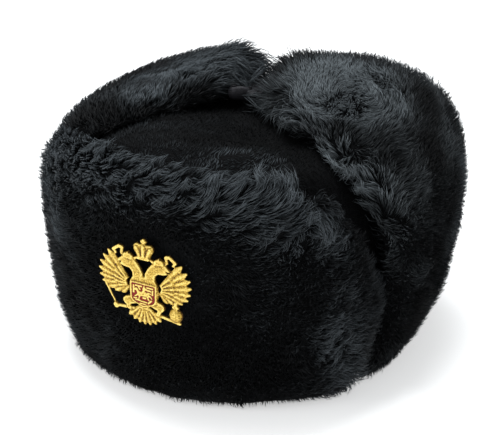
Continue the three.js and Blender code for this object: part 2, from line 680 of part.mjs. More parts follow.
function wing(side) {
  const root = side > 0 ? WING_ROOT : mirrored([WING_ROOT])[0];
  const turned = (angle) => (side > 0 ? angle : 180 - angle);
  const feathers = WING_FEATHERS.map(({ angle, reach }, i) => (
    feather(root, turned(angle), reach, FEATHER_HALF - FEATHER_NARROWING * i, FEATHER_TOP + layer(i))
  ));
  const coverts = COVERTS.map(({ angle, reach }, i) => (
    feather(root, turned(angle), reach, COVERT_HALF, COVERT_TOP + layer(i))
  ));
  return [...feathers, ...coverts];
}

function eagleSolid() {
  const tail = TAIL_FEATHERS.flatMap(({ angle, reach }, i) => (
    [angle, -180 - angle].slice(0, i === 0 ? 1 : 2)
      .map((turn) => feather(TAIL_ROOT, turn, reach, COVERT_HALF, TAIL_TOP + layer(i)))
  ));
  const bigCrown = [...BIG_CROWN_HALF, ...mirrored(BIG_CROWN_HALF).slice(1, -1).reverse()];
  const frame = SHIELD.map(([x, y]) => [x * FRAME_WIDER, SHIELD_MIDDLE + (y - SHIELD_MIDDLE) * FRAME_LONGER]);
  const castings = [
    casting(CHEST, CAST_FOOT, BODY_TOP),
    casting(frame, CAST_FOOT, FRAME_TOP),
    casting(bigCrown, CAST_FOOT, BODY_TOP),
    ...[NECK_AND_HEAD, mirrored(NECK_AND_HEAD)].map((outline) => casting(outline, CAST_FOOT, HEAD_TOP)),
    ...[SMALL_CROWN, mirrored(SMALL_CROWN)].map((outline) => casting(outline, CAST_FOOT, SMALL_CROWN_TOP)),
  ];
  const strokes = [
    ...PAIRED_STROKES, ...PAIRED_STROKES.map(mirroredStroke), ...SCEPTRE_STROKES, ...ORB_STROKES, ...CROWN_STROKES,
  ].map((each) => stroke(each));
  const orb = new THREE.SphereGeometry(ORB.radius, 12, 8).scale(1, 1, 0.62).translate(ORB.x, ORB.y, 0.4);
  const whole = fused([...castings, ...wing(1), ...wing(-1), ...tail, ...strokes, solidFrom(orb)]);
  const behind = solidFrom(new THREE.BoxGeometry(80, 80, 10).translate(0, 0, -10 / 2));
  const post = new THREE.CylinderGeometry(POST_RADIUS, POST_RADIUS, POST_LENGTH + 1, 10);
  post.rotateX(Math.PI / 2).translate(0, 0, 1 - (POST_LENGTH + 1) / 2);
  return whole.subtract(behind)
    .subtract(plate(SHIELD, POCKET_FLOOR, FRAME_TOP + 1))
    .add(fused(RIDER_STROKES.map((each) => stroke({ ...each, high: FIGURE_TOP }, BODY_TOP / 2))))
    .add(solidFrom(post));
}

// A plain plate over an outline, without a bevel.
function plate(points, low, high) {
  const outline = new THREE.Shape(points.map(([x, y]) => new THREE.Vector2(x, y)));
  const geometry = new THREE.ExtrudeGeometry(outline, { depth: high - low, bevelEnabled: false });
  return solidFrom(geometry.translate(0, 0, low));
}

// The enamel in the shield's pocket, open round the raised figure.
function enamelSolid() {
  const shrunk = SHIELD.map(([x, y]) => [x * 0.975, SHIELD_MIDDLE + (y - SHIELD_MIDDLE) * 0.975]);
  const figure = fused(RIDER_STROKES.map((each) => stroke({ ...each, high: FIGURE_TOP + 1 }, 0, ENAMEL_GAP)));
  return plate(shrunk, POCKET_FLOOR + ENAMEL_GAP, ENAMEL_TOP).subtract(figure);
}

function meshOf(name, solid, look) {
  const mesh = new THREE.Mesh(geometryFrom(solid), new THREE.MeshStandardMaterial(look));
  mesh.name = name;
  return mesh;
}

// Assembly

const room = crownRoom();
const knotRoom = knotLump(GAP);
const tieRoom = fused([ribbonSolid(LEFT_TIE, GAP), ribbonSolid(RIGHT_TIE, GAP), knotRoom]);

const badge = new THREE.Group();
const seat = frontMiddle(0, BADGE_RISE / FRONT_FLAP_HEIGHT);
badge.position.set(BADGE_SIDE, seat.y - PAD / 2 + BADGE_PRESS - GAP, BADGE_RISE);
badge.rotation.x = THREE.MathUtils.degToRad(90 + BADGE_TILT);
badge.updateMatrix();
badge.add(meshOf('badge_eagle', lightened(eagleSolid()), gilt));
badge.add(meshOf('badge_shield', enamelSolid(), enamel));

// The hollow that the badge presses into the pile, with the hole for its post.
const DISH = { mouth: 44, floor: 31, depth: 13 };
function badgeSeat() {
  const dish = new THREE.CylinderGeometry(DISH.mouth, DISH.floor, DISH.depth, 24);
  dish.rotateX(Math.PI / 2).translate(0, 0, DISH.depth / 2 - GAP);
  const radius = POST_RADIUS + GAP;
  const hole = new THREE.CylinderGeometry(radius, radius, POST_LENGTH + 2, 10);
  hole.rotateX(Math.PI / 2).translate(0, 0, 1 - (POST_LENGTH + 2) / 2);
  return fused([dish, hole].map((geometry) => solidFrom(geometry.applyMatrix4(badge.matrix))));
}

const hat = new THREE.Group();
hat.add(meshOf('crown', solidFrom(crownGeometry()), plush));
hat.add(meshOf('front_flap', lightened(frontFlapSolid().subtract(room).subtract(badgeSeat())), fur));
hat.add(meshOf('left_ear_flap', lightened(wrapSolid(leftEar).subtract(room).subtract(tieRoom)), fur));
hat.add(meshOf('nape_flap', lightened(wrapSolid(nape).subtract(room)), fur));
hat.add(meshOf('right_ear_flap', lightened(wrapSolid(rightEar).subtract(room).subtract(tieRoom)), fur));
hat.add(meshOf('left_tie', ribbonSolid(LEFT_TIE, 0).subtract(knotRoom), satin));
hat.add(meshOf('right_tie', ribbonSolid(RIGHT_TIE, 0).subtract(knotRoom).subtract(ribbonSolid(LEFT_TIE, GAP)), satin));
hat.add(meshOf('tie_knot', knotSolid(), satin));
hat.add(badge);

export default hat;
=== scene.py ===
"""Looks of a black fur cap: the hide and pile of its flaps and crown, its ribbons and its gilt badge."""
import logging
import math
from dataclasses import dataclass, field
from enum import Enum
from typing import Any

import bmesh
import bpy
import numpy as np
from mathutils import Matrix, Vector
from mathutils.bvhtree import BVHTree
from mathutils.kdtree import KDTree


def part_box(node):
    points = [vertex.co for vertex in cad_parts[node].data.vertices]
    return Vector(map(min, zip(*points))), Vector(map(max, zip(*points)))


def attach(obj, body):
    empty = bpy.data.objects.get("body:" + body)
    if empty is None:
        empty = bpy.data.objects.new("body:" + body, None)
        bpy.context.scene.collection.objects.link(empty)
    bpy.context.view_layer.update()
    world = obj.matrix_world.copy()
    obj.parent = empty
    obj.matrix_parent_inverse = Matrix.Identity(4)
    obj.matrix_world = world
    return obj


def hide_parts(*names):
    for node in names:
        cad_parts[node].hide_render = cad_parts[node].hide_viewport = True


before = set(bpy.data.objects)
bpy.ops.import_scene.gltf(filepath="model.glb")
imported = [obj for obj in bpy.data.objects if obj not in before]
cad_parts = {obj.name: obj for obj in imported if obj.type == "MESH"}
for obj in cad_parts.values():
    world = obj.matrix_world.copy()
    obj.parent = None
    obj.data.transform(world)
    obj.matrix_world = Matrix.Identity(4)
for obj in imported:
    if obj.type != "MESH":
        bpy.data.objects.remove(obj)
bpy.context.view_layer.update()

log = logging.getLogger("fur_cap")

MM = 0.001
ROOT = "root"
STRAND_MAP = "OFBake"
# Attribute of the badge's mask for painted highlight and painted shade.
PAINTED_LIGHT_MASK = "relief"
BADGE_MIDDLE = (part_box("badge_eagle")[0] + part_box("badge_eagle")[1]) / 2


class Socket:
    """An output of a shader node, with arithmetic that adds Math nodes."""

    def __init__(self, nodes: "Nodes", output: bpy.types.NodeSocket) -> None:
        """Wraps an output.

        Args:
            nodes: the material's node builder.
            output: the output that is wrapped.
        """
        self.nodes = nodes
        self.output = output

    def _math(self, operation: str, first: Any, second: Any) -> "Socket":
        """Returns the outcome of a Math node on two values or sockets."""
        return self.nodes.node("ShaderNodeMath", {"operation": operation}, {0: first, 1: second})

    def __add__(self, other: Any) -> "Socket":
        """Returns self + other."""
        return self._math("ADD", self, other)

    def __radd__(self, other: Any) -> "Socket":
        """Returns other + self."""
        return self._math("ADD", other, self)

    def __sub__(self, other: Any) -> "Socket":
        """Returns self - other."""
        return self._math("SUBTRACT", self, other)

    def __rsub__(self, other: Any) -> "Socket":
        """Returns other - self."""
        return self._math("SUBTRACT", other, self)

    def __mul__(self, other: Any) -> "Socket":
        """Returns self * other."""
        return self._math("MULTIPLY", self, other)

    def __rmul__(self, other: Any) -> "Socket":
        """Returns other * self."""
        return self._math("MULTIPLY", other, self)

    def __pow__(self, other: Any) -> "Socket":
        """Returns self raised to other."""
        return self._math("POWER", self, other)

    def clamped(self) -> "Socket":
        """Returns self held between 0 and 1."""
        return self.nodes.node("ShaderNodeClamp", {}, {0: self})


class Nodes:
    """Builds the node tree of one material."""

    def __init__(self, name: str) -> None:
        """Starts an empty material.

        Args:
            name: the material's name.
        """
        self.material = bpy.data.materials.new(name)
        self.material.use_nodes = True
        self.tree = self.material.node_tree
        self.tree.nodes.clear()

    def node(self, kind: str, settings: dict[str, Any], inputs: dict[Any, Any], output: Any = 0) -> Socket:
        """Adds a node.

        Args:
            kind: the node's type.
            settings: its properties, which are set before its sockets.
            inputs: values or Sockets by the socket's name or number.
            output: the name or number of the output that is returned.

        Returns:
            The output as a Socket.
        """
        made = self.tree.nodes.new(kind)
        for key, value in settings.items():
            setattr(made, key, value)
        for key, value in inputs.items():
            if isinstance(value, Socket):
                self.tree.links.new(value.output, made.inputs[key])
            else:
                made.inputs[key].default_value = value
        return Socket(self, made.outputs[output])

    def place(self) -> Socket:
        """Returns Object coordinates."""
        return self.node("ShaderNodeTexCoord", {}, {}, "Object")

    def noise(self, scale: float, detail: float = 3.0, stretch: tuple = (1, 1, 1)) -> Socket:
        """Returns a noise of a scale per metre, drawn out along the axes.

        Args:
            scale: how many waves go in a metre.
            detail: the octaves.
            stretch: a factor for each axis.

        Returns:
            The noise's value, from 0 to 1.
        """
        at = self.node("ShaderNodeMapping", {}, {"Vector": self.place(), "Scale": stretch})
        return self.node("ShaderNodeTexNoise", {}, {"Vector": at, "Scale": scale, "Detail": detail})

    def mix(self, share: Any, first: Any, second: Any) -> Socket:
        """Mixes two colours.

        Args:
            share: how much there is of the second colour, a value or a Socket.
            first: the colour at a share of 0, a tuple or a Socket.
            second: the colour at a share of 1, a tuple or a Socket.

        Returns:
            The mixed colour.
        """
        colours = [value if isinstance(value, Socket) else (*value, 1.0) for value in (first, second)]
        settings = {"data_type": "RGBA"}
        return self.node("ShaderNodeMix", settings, {0: share, 6: colours[0], 7: colours[1]}, 2)

    def bump(self, height: Socket, depth: float, strength: float = 1.0) -> Socket:
        """Returns a normal with a relief of a depth in metres."""
        return self.node("ShaderNodeBump", {}, {"Height": height, "Distance": depth, "Strength": strength})

    def surface(self, **sockets: Any) -> bpy.types.Material:
        """Ends the tree in one Principled shader.

        Args:
            sockets: values or Sockets by the socket's name, with _ for a space.

        Returns:
            The finished material.
        """
        inputs = {}
        for key, value in sockets.items():
            is_colour = isinstance(value, tuple) and len(value) == 3
            inputs[key.replace("_", " ")] = (*value, 1.0) if is_colour else value
        shader = self.node("ShaderNodeBsdfPrincipled", {}, inputs)
        end = self.tree.nodes.new("ShaderNodeOutputMaterial")
        self.tree.links.new(shader.output, end.inputs["Surface"])
        return self.material


@dataclass(frozen=True)
class PileFinish:
    """Finish of the hairs, whose map holds their lightness across, with its painted sheen and shade, and
    the way from root to tip upwards, darkened towards the root as painted shade.
    """

    name: str
    root: tuple = (0.0015, 0.0016, 0.0018)
    dark_tip: tuple = (0.006, 0.0066, 0.0075)
    light_tip: tuple = (0.13, 0.15, 0.165)
    roughness: float = 0.55
    specular: float = 0.1

    def material(self) -> bpy.types.Material:
        """Makes the material.

        Returns:
            The material.
        """
        nodes = Nodes(self.name)
        uv = nodes.node("ShaderNodeUVMap", {"uv_map": STRAND_MAP}, {})
        lightness = nodes.node("ShaderNodeSeparateXYZ", {}, {0: uv}, 0)
        along = nodes.node("ShaderNodeSeparateXYZ", {}, {0: uv}, 1)
        # Tips go from dark to light by the lightness, which holds painted sheen and shade; then painted
        # shade down towards the root.
        tip = nodes.mix((lightness ** 1.6).clamped(), self.dark_tip, self.light_tip)
        colour = nodes.mix((along ** 1.4).clamped(), self.root, tip)
        return nodes.surface(Base_Color=colour, Roughness=self.roughness, Specular_IOR_Level=self.specular)


@dataclass(frozen=True)
class HideFinish:
    """Finish of the hide under the pile: near black, with the roots' fine relief. Waves in a metre."""

    name: str
    dark: tuple = (0.0012, 0.0013, 0.0015)
    light: tuple = (0.006, 0.0065, 0.0072)
    root_waves: float = 900.0
    lock_waves: float = 110.0
    relief: float = 0.0012

    def material(self) -> bpy.types.Material:
        """Makes the material.

        Returns:
            The material.
        """
        nodes = Nodes(self.name)
        roots = nodes.noise(self.root_waves, 4.0, (1.0, 1.0, 0.35))
        locks = nodes.noise(self.lock_waves, 2.0)
        colour = nodes.mix((roots * locks * 2.4 - 0.2).clamped(), self.dark, self.light)
        return nodes.surface(
            Base_Color=colour, Roughness=0.92, Specular_IOR_Level=0.08,
            Normal=nodes.bump(roots, self.relief),
        )


@dataclass(frozen=True)
class SatinFinish:
    """Finish of the black satin ribbons, with a fine weave and cloudy shades. Waves in a metre."""

    name: str
    dark: tuple = (0.003, 0.003, 0.004)
    light: tuple = (0.012, 0.011, 0.014)
    weave_waves: float = 1500.0
    shade_waves: float = 160.0
    relief: float = 0.0003

    def material(self) -> bpy.types.Material:
        """Makes the material.

        Returns:
            The material.
        """
        nodes = Nodes(self.name)
        weave = nodes.noise(self.weave_waves, 2.0)
        shade = nodes.noise(self.shade_waves, 2.0)
        colour = nodes.mix((shade * 1.6 - 0.4).clamped(), self.dark, self.light)
        return nodes.surface(
            Base_Color=colour, Roughness=(weave * 0.25 + 0.4).clamped(), Specular_IOR_Level=0.12,
            Normal=nodes.bump(weave, self.relief),
        )


@dataclass(frozen=True)
class GiltFinish:
    """Finish of the gilt badge: a painted highlight in pale gold on the ridges, and painted shade in brown
    in the recesses and on the flanks. Waves in a metre.
    """

    name: str
    gold: tuple = (0.56, 0.35, 0.045)
    pale: tuple = (0.92, 0.7, 0.2)
    # colour of the painted shade in the recesses and on the flanks
    recess_shade: tuple = (0.09, 0.034, 0.006)
    grain_waves: float = 1500.0
    cloud_waves: float = 260.0
    relief: float = 0.0004

    def material(self) -> bpy.types.Material:
        """Makes the material.

        Returns:
            The material.
        """
        nodes = Nodes(self.name)
        grain = nodes.noise(self.grain_waves)
        clouds = nodes.noise(self.cloud_waves)
        stand = nodes.node("ShaderNodeAttribute", {"attribute_name": PAINTED_LIGHT_MASK}, {}, "Fac")
        height = stand + (grain - 0.5) * 1.6 + (clouds - 0.5) * 0.25
        # painted shade towards the hollows, then a painted highlight on the ridges
        shaded_gold = nodes.mix((height * 2.6 - 0.25).clamped(), self.recess_shade, self.gold)
        colour = nodes.mix((height * 2.4 - 1.1).clamped(), shaded_gold, self.pale)
        return nodes.surface(
            Base_Color=colour, Metallic=0.45, Roughness=(0.6 - height * 0.2 + grain * 0.1).clamped(),
            Specular_IOR_Level=0.3, Normal=nodes.bump(grain, self.relief),
        )


@dataclass(frozen=True)
class EnamelFinish:
    """Finish of the dark red enamel in the shield. Waves in a metre."""

    name: str
    dark: tuple = (0.13, 0.004, 0.004)
    light: tuple = (0.3, 0.014, 0.012)
    cloud_waves: float = 700.0
    relief: float = 0.0001

    def material(self) -> bpy.types.Material:
        """Makes the material.

        Returns:
            The material.
        """
        nodes = Nodes(self.name)
        clouds = nodes.noise(self.cloud_waves)
        colour = nodes.mix(clouds, self.dark, self.light)
        return nodes.surface(
            Base_Color=colour, Roughness=(clouds * 0.2 + 0.3).clamped(), Specular_IOR_Level=0.12,
            Coat_Weight=0.05, Normal=nodes.bump(clouds, self.relief),
        )


@dataclass(frozen=True)
class FloorFinish:
    """Finish of the plain pale floor, which glows a little so that it stays pale."""

    name: str
    glow: float = 0.5

    def material(self) -> bpy.types.Material:
        """Makes the material.

        Returns:
            The material.
        """
        nodes = Nodes(self.name)
        return nodes.surface(
            Base_Color=(0.93, 0.93, 0.93), Roughness=0.9, Specular_IOR_Level=0.1,
            Emission_Color=(1.0, 1.0, 1.0), Emission_Strength=self.glow,
        )


class Hair(Enum):
    """The kinds of hair in a pile: straight ones, and longer bent ones where it parts into locks."""

    SPIKE = 1
    LOCK = 2


@dataclass(frozen=True)
class Swirl:
    """A smooth field that looks random and is always the same for a seed. Its pitch is in metres."""

    seed: int
    pitch: float
    waves: int = 14

    def at(self, points: np.ndarray) -> np.ndarray:
        """Works out the field.

        Args:
            points: a row for each point.

        Returns:
            A vector of about unit strength for each point.
        """
        rng = np.random.default_rng(self.seed)
        turns = rng.normal(size=(self.waves, 3)) * (2 * math.pi / self.pitch / 1.7)
        phases = rng.uniform(0, 2 * math.pi, (self.waves, 3))
        gains = rng.normal(size=(self.waves, 3)) * math.sqrt(2 / self.waves)
        angle = (points @ turns.T)[:, :, None] + phases[None]
        return (np.sin(angle) * gains[None]).sum(1)

    def level(self, points: np.ndarray) -> np.ndarray:
        """Returns one number of about unit strength for each point."""
        return self.at(points)[:, 0]


def unit(vectors: np.ndarray) -> np.ndarray:
    """Returns the vectors at length 1."""
    return vectors / np.maximum(np.linalg.norm(vectors, axis=1, keepdims=True), 1e-9)


def smooth_step(values: np.ndarray, low: float, high: float) -> np.ndarray:
    """Returns a share from 0 at low to 1 at high, eased at both ends."""
    share = np.clip((values - low) / (high - low), 0, 1)
    return share * share * (3 - 2 * share)


def raised(pair: tuple[float, float], share: np.ndarray) -> np.ndarray:
    """Returns the pair's first amount, with its second added to it as far as the share says."""
    return pair[0] + pair[1] * share


def evened(node: str, name: str, voxel: float) -> bpy.types.Object:
    """Returns a remeshed copy of one of the frame's solids.

    Args:
        node: the solid's name.
        name: the copy's name.
        voxel: the fineness, in millimetres.

    Returns:
        The copy, with smooth shading and no modifier left on it.
    """
    shape = bmesh.new()
    shape.from_mesh(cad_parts[node].data)
    bmesh.ops.remove_doubles(shape, verts=shape.verts, dist=1e-5)
    mesh = bpy.data.meshes.new(name)
    shape.to_mesh(mesh)
    shape.free()
    made = bpy.data.objects.new(name, mesh)
    bpy.context.scene.collection.objects.link(made)
    remesh = made.modifiers.new("even", "REMESH")
    remesh.mode = "VOXEL"
    remesh.voxel_size = voxel * MM
    remesh.use_smooth_shade = True
    fine = bpy.data.meshes.new_from_object(made.evaluated_get(bpy.context.evaluated_depsgraph_get()))
    made.modifiers.clear()
    made.data = fine
    made.data.materials.clear()
    return made


class Surface:
    """The triangles of a mesh as arrays, for scattering hairs over it."""

    def __init__(self, mesh: bpy.types.Mesh) -> None:
        """Reads a mesh's triangles and normals.

        Args:
            mesh: the mesh.
        """
        mesh.calc_loop_triangles()
        count = len(mesh.vertices)
        self.points = np.zeros(count * 3, np.float32)
        mesh.vertices.foreach_get("co", self.points)
        self.points = self.points.reshape(-1, 3).astype(float)
        self.normals = np.zeros(count * 3, np.float32)
        mesh.vertex_normals.foreach_get("vector", self.normals)
        self.normals = self.normals.reshape(-1, 3).astype(float)
        self.corners = np.zeros(len(mesh.loop_triangles) * 3, np.int32)
        mesh.loop_triangles.foreach_get("vertices", self.corners)
        self.corners = self.corners.reshape(-1, 3)
        a, b, c = (self.points[self.corners[:, k]] for k in range(3))
        self.middles = (a + b + c) / 3
        crossed = np.cross(b - a, c - a)
        self.areas = np.linalg.norm(crossed, axis=1) / 2
        self.facing = unit(crossed)

    def scatter(self, count: int, cover: np.ndarray, rng: np.random.Generator) -> tuple:
        """Scatters places evenly over the surface.

        Args:
            count: how many places.
            cover: how dense they lie on each triangle.
            rng: the source of chance.

        Returns:
            The places and the surface's normals there.
        """
        heaped = np.cumsum(self.areas * cover)
        steps = (np.arange(count) + rng.uniform(0, 1, count)) / count * heaped[-1]
        chosen = np.minimum(np.searchsorted(heaped, steps), len(heaped) - 1)
        first, second = rng.uniform(0, 1, (2, count))
        over = first + second > 1
        first, second = np.where(over, 1 - first, first), np.where(over, 1 - second, second)
        shares = np.stack([1 - first - second, first, second], 1)[:, :, None]
        corners = self.corners[chosen]
        return (self.points[corners] * shares).sum(1), unit((self.normals[corners] * shares).sum(1))


@dataclass
class Strands:
    """Hairs of one kind as arrays, a row for each hair."""

    kind: Hair
    root: np.ndarray
    middle: np.ndarray
    tip: np.ndarray
    width: np.ndarray
    lightness: np.ndarray
    roll: np.ndarray

    def rings(self) -> list[np.ndarray]:
        """Works out the points up each hair.

        Returns:
            Rings of three points from the root up, and last the tip alone.
        """
        def ring(centre: np.ndarray, ahead: np.ndarray, radius: np.ndarray) -> np.ndarray:
            """Works out three points round a centre.

            Args:
                centre: the middle of each hair's ring.
                ahead: the way that the hair goes there.
                radius: the ring's radius.

            Returns:
                The points, three for each hair.
            """
            helper = np.where(np.abs(ahead[:, 2:]) < 0.8, [[0, 0, 1.0]], [[1.0, 0, 0]])
            side = unit(np.cross(helper, ahead))
            other = np.cross(ahead, side)
            turns = self.roll[:, None] + np.arange(3) * (2 * math.pi / 3)
            offset = np.cos(turns)[:, :, None] * side[:, None] + np.sin(turns)[:, :, None] * other[:, None]
            return centre[:, None] + offset * radius[:, None, None]

        if self.kind is Hair.SPIKE:
            return [ring(self.root, unit(self.tip - self.root), self.width / 2), self.tip[:, None]]
        lower = ring(self.root, unit(self.middle - self.root), self.width / 2)
        upper = ring(self.middle, unit(self.tip - self.root), self.width * 0.4)
        return [lower, upper, self.tip[:, None]]


# Corner numbers of the closed hairs: three points a ring from the root up, then the tip.
HAIR_FACES = {
    Hair.SPIKE: np.array([[0, 2, 1], [0, 1, 3], [1, 2, 3], [2, 0, 3]]),
    Hair.LOCK: np.array([
        [0, 2, 1], [0, 1, 4], [0, 4, 3], [1, 2, 5], [1, 5, 4],
        [2, 0, 3], [2, 3, 5], [3, 4, 6], [4, 5, 6], [5, 3, 6],
    ]),
}
# How far up the hair each of those points is.
HAIR_RISE = {
    Hair.SPIKE: np.array([0, 0, 0, 1.0]),
    Hair.LOCK: np.array([0, 0, 0, 0.55, 0.55, 0.55, 1.0]),
}


def hair_object(name: str, groups: list[Strands]) -> bpy.types.Object:
    """Joins hairs into one mesh.

    Args:
        name: the piece's name.
        groups: the hairs.

    Returns:
        The new object, with a map of lightness and of the way from root to tip.
    """
    points, corners, maps = [], [], []
    start = 0
    for strands in groups:
        spots = np.concatenate(strands.rings(), axis=1)
        count, each = spots.shape[:2]
        faces = HAIR_FACES[strands.kind]
        points.append(spots.reshape(-1, 3))
        corners.append((faces[None] + (np.arange(count) * each)[:, None, None] + start).reshape(-1, 3))
        rise = np.broadcast_to(HAIR_RISE[strands.kind][faces][None], (count, *faces.shape))
        light = np.broadcast_to(strands.lightness[:, None, None], rise.shape)
        maps.append(np.stack([light, rise * 0.98 + 0.01], -1).reshape(-1, 2))
        start += count * each
    spots, faces, chart = (np.concatenate(part) for part in (points, corners, maps))
    mesh = bpy.data.meshes.new(name)
    mesh.vertices.add(len(spots))
    mesh.vertices.foreach_set("co", spots.astype(np.float32).ravel())
    mesh.loops.add(len(faces) * 3)
    mesh.loops.foreach_set("vertex_index", faces.astype(np.int32).ravel())
    mesh.polygons.add(len(faces))
    mesh.polygons.foreach_set("loop_start", np.arange(len(faces), dtype=np.int32) * 3)
    mesh.update(calc_edges=True)
    layer = mesh.uv_layers.new(name=STRAND_MAP)
    layer.uv.foreach_set("vector", np.clip(chart, 0.01, 0.99).astype(np.float32).ravel())
    mesh.polygons.foreach_set("use_smooth", np.ones(len(faces), bool))
    made = bpy.data.objects.new(name, mesh)
    bpy.context.scene.collection.objects.link(made)
    return made


@dataclass
class Parting:
    """How the hairs fall to the locks of a plan, a row for each hair."""

    lock: np.ndarray
    along: np.ndarray
    across: np.ndarray
    edge: np.ndarray


class LockPlan:
    """The locks that a pile falls into, each with its root, its way and a few shared traits.

    The spacing, the half width and the rest are shares of a lock's size.
    """

    TRIALS = 3
    SPACING = 0.8
    HALF_WIDTH = 0.6
    NEIGHBOURS = 5
    TIP_SPREAD = 0.25
    TIP_SHIFT = 0.7

    def __init__(self, surface: Surface, lie: Any, size: float, stretch: float, seed: int) -> None:
        """Spreads the locks over a surface.

        Args:
            surface: the hide.
            lie: the function that gives the pile's way at places with normals.
            size: about how far apart the locks lie, in millimetres.
            stretch: how much longer than wide a lock is.
            seed: the seed of chance.
        """
        rng = np.random.default_rng(seed)
        self.size, self.stretch = size * MM, stretch
        count = int(self.TRIALS * surface.areas.sum() / self.size ** 2)
        spots, normals = surface.scatter(count, np.ones(len(surface.areas)), rng)
        crowd = KDTree(count)
        for number, spot in enumerate(spots):
            crowd.insert(spot, number)
        crowd.balance()
        free, chosen = np.ones(count, bool), []
        for number in range(count):
            if free[number]:
                chosen.append(number)
                close = crowd.find_range(spots[number], self.SPACING * self.size)
                free[[found[1] for found in close]] = False
        self.root = spots[chosen]
        way = lie(self.root, normals[chosen])
        self.way = unit(way - (way * normals[chosen]).sum(1, keepdims=True) * normals[chosen])
        self.tone, self.turn, self.lift, self.reach = rng.normal(size=(4, len(chosen)))
        self.tree = KDTree(len(chosen))
        for number, spot in enumerate(self.root):
            self.tree.insert(spot, number)
        self.tree.balance()

    def parted(self, root: np.ndarray) -> Parting:
        """Works out to which lock each hair belongs.

        Args:
            root: the hairs' roots.

        Returns:
            The locks, and where in them the hairs stand.
        """
        near = np.array([[found[1] for found in self.tree.find_n(spot, self.NEIGHBOURS)] for spot in root])
        offset = root[:, None] - self.root[near]
        along = (offset * self.way[near]).sum(2)
        across = offset - along[:, :, None] * self.way[near]
        away = np.hypot(np.linalg.norm(across, axis=2), along / self.stretch)
        best = away.argmin(1)
        row = np.arange(len(root))
        edge = np.linalg.norm(across[row, best], axis=1) / (self.HALF_WIDTH * self.size)
        return Parting(near[row, best], along[row, best], across[row, best], np.clip(edge, 0, 1) ** 2)

    def drawn(self, part: Parting, root: np.ndarray, tip: np.ndarray, pull: np.ndarray) -> np.ndarray:
        """Draws the tips of each lock's hairs together.

        Args:
            part: how the hairs fall to the locks.
            root: the hairs' roots.
            tip: their tips.
            pull: how strongly each hair is drawn, from 0 to 1.

        Returns:
            The new tips.
        """
        crowd = np.maximum(np.bincount(part.lock, minlength=len(self.root)), 1)
        reach = np.stack([
            np.bincount(part.lock, (tip - root)[:, axis], len(self.root)) / crowd for axis in range(3)
        ], 1)
        goal = self.root[part.lock] + reach[part.lock] + self.TIP_SPREAD * part.across
        goal += self.TIP_SHIFT * part.along[:, None] * self.way[part.lock]
        return tip + (goal - tip) * pull[:, None]


@dataclass(frozen=True)
class Gleam:
    """A streak where the pile lies sideways, with painted sheen that makes it lighter, or with a negative
    gain a patch of painted shade. Millimetres.

    Its locks say how clearly it parts into locks, from 0 to 1.
    """

    start: tuple
    end: tuple
    spread: float
    gain: float
    locks: float = 1.0

    def share(self, points: np.ndarray) -> np.ndarray:
        """Works out the streak's strength, which fades with the distance from its line.

        Args:
            points: a row for each point.

        Returns:
            The strength at each point.
        """
        start, end = np.array(self.start) * MM, np.array(self.end) * MM
        along = end - start
        share = np.clip((points - start) @ along / max(along @ along, 1e-9), 0, 1)
        away = np.linalg.norm(points - start - share[:, None] * along, axis=1)
        return self.gain * np.exp(-((away / (self.spread * MM)) ** 2))


@dataclass(frozen=True)
class Shag:
    """A place where the pile is long and loose, and the way that it hangs there. Millimetres."""

    spot: tuple
    way: tuple
    reach: float = 20.0
    gain: float = 1.0

    def share(self, points: np.ndarray) -> np.ndarray:
        """Returns how shaggy each point is, which fades with the distance from the spot."""
        away = np.linalg.norm(points - np.array(self.spot) * MM, axis=1) / MM
        return self.gain * np.exp(-((away / self.reach) ** 2))


@dataclass(frozen=True)
class Growth:
    """How the hairs of every pile grow. Lengths in millimetres, angles in degrees, lightness from 0 to 1.

    A pair is either the two ends of a range, where its name says spread, limits or heights, or else what
    smooth pile has and what is added where the pile parts fully into locks.
    """

    lock_cover: float = 0.12
    gleam_gain: float = 1.5
    length_spread: tuple = (0.75, 1.12)
    reach: float = 0.16
    reach_limits: tuple = (0.6, 1.5)
    turn: tuple = (8.0, 20.0)
    most_turn: float = 75.0
    half_lock: float = 8.0
    rim_heights: tuple = (4.0, 22.0)
    rim_drop: float = 14.0
    shag_drop: float = 36.0
    lock_lift: tuple = (4.0, 6.0)
    shag_lift: float = 4.0
    lift_scatter: float = 6.0
    lift_limits: tuple = (12.0, 85.0)
    scatter: float = 0.09
    tuft_pull: tuple = (0.35, 0.15)
    tuft_pull_spread: tuple = (0.6, 1.2)
    lock_pull: tuple = (0.1, 0.32)
    lock_pull_spread: tuple = (0.4, 1.2)
    middle: float = 0.55
    bend: float = 0.3
    rooted: float = 0.8
    root_height: float = 0.5
    tip_height: float = 0.1
    width_spread: tuple = (0.75, 1.25)
    lock_tone: tuple = (0.03, 0.13)
    tuft_tone: tuple = (0.02, 0.07)
    # edge_shade is painted shade at lock edges, end_shine a painted highlight towards each lock's end,
    # long_shine painted sheen on the long hairs
    edge_shade: tuple = (0.04, 0.18)
    end_shine: float = 0.1
    tone_scatter: float = 0.07
    long_shine: float = 0.08


GROWTH = Growth()


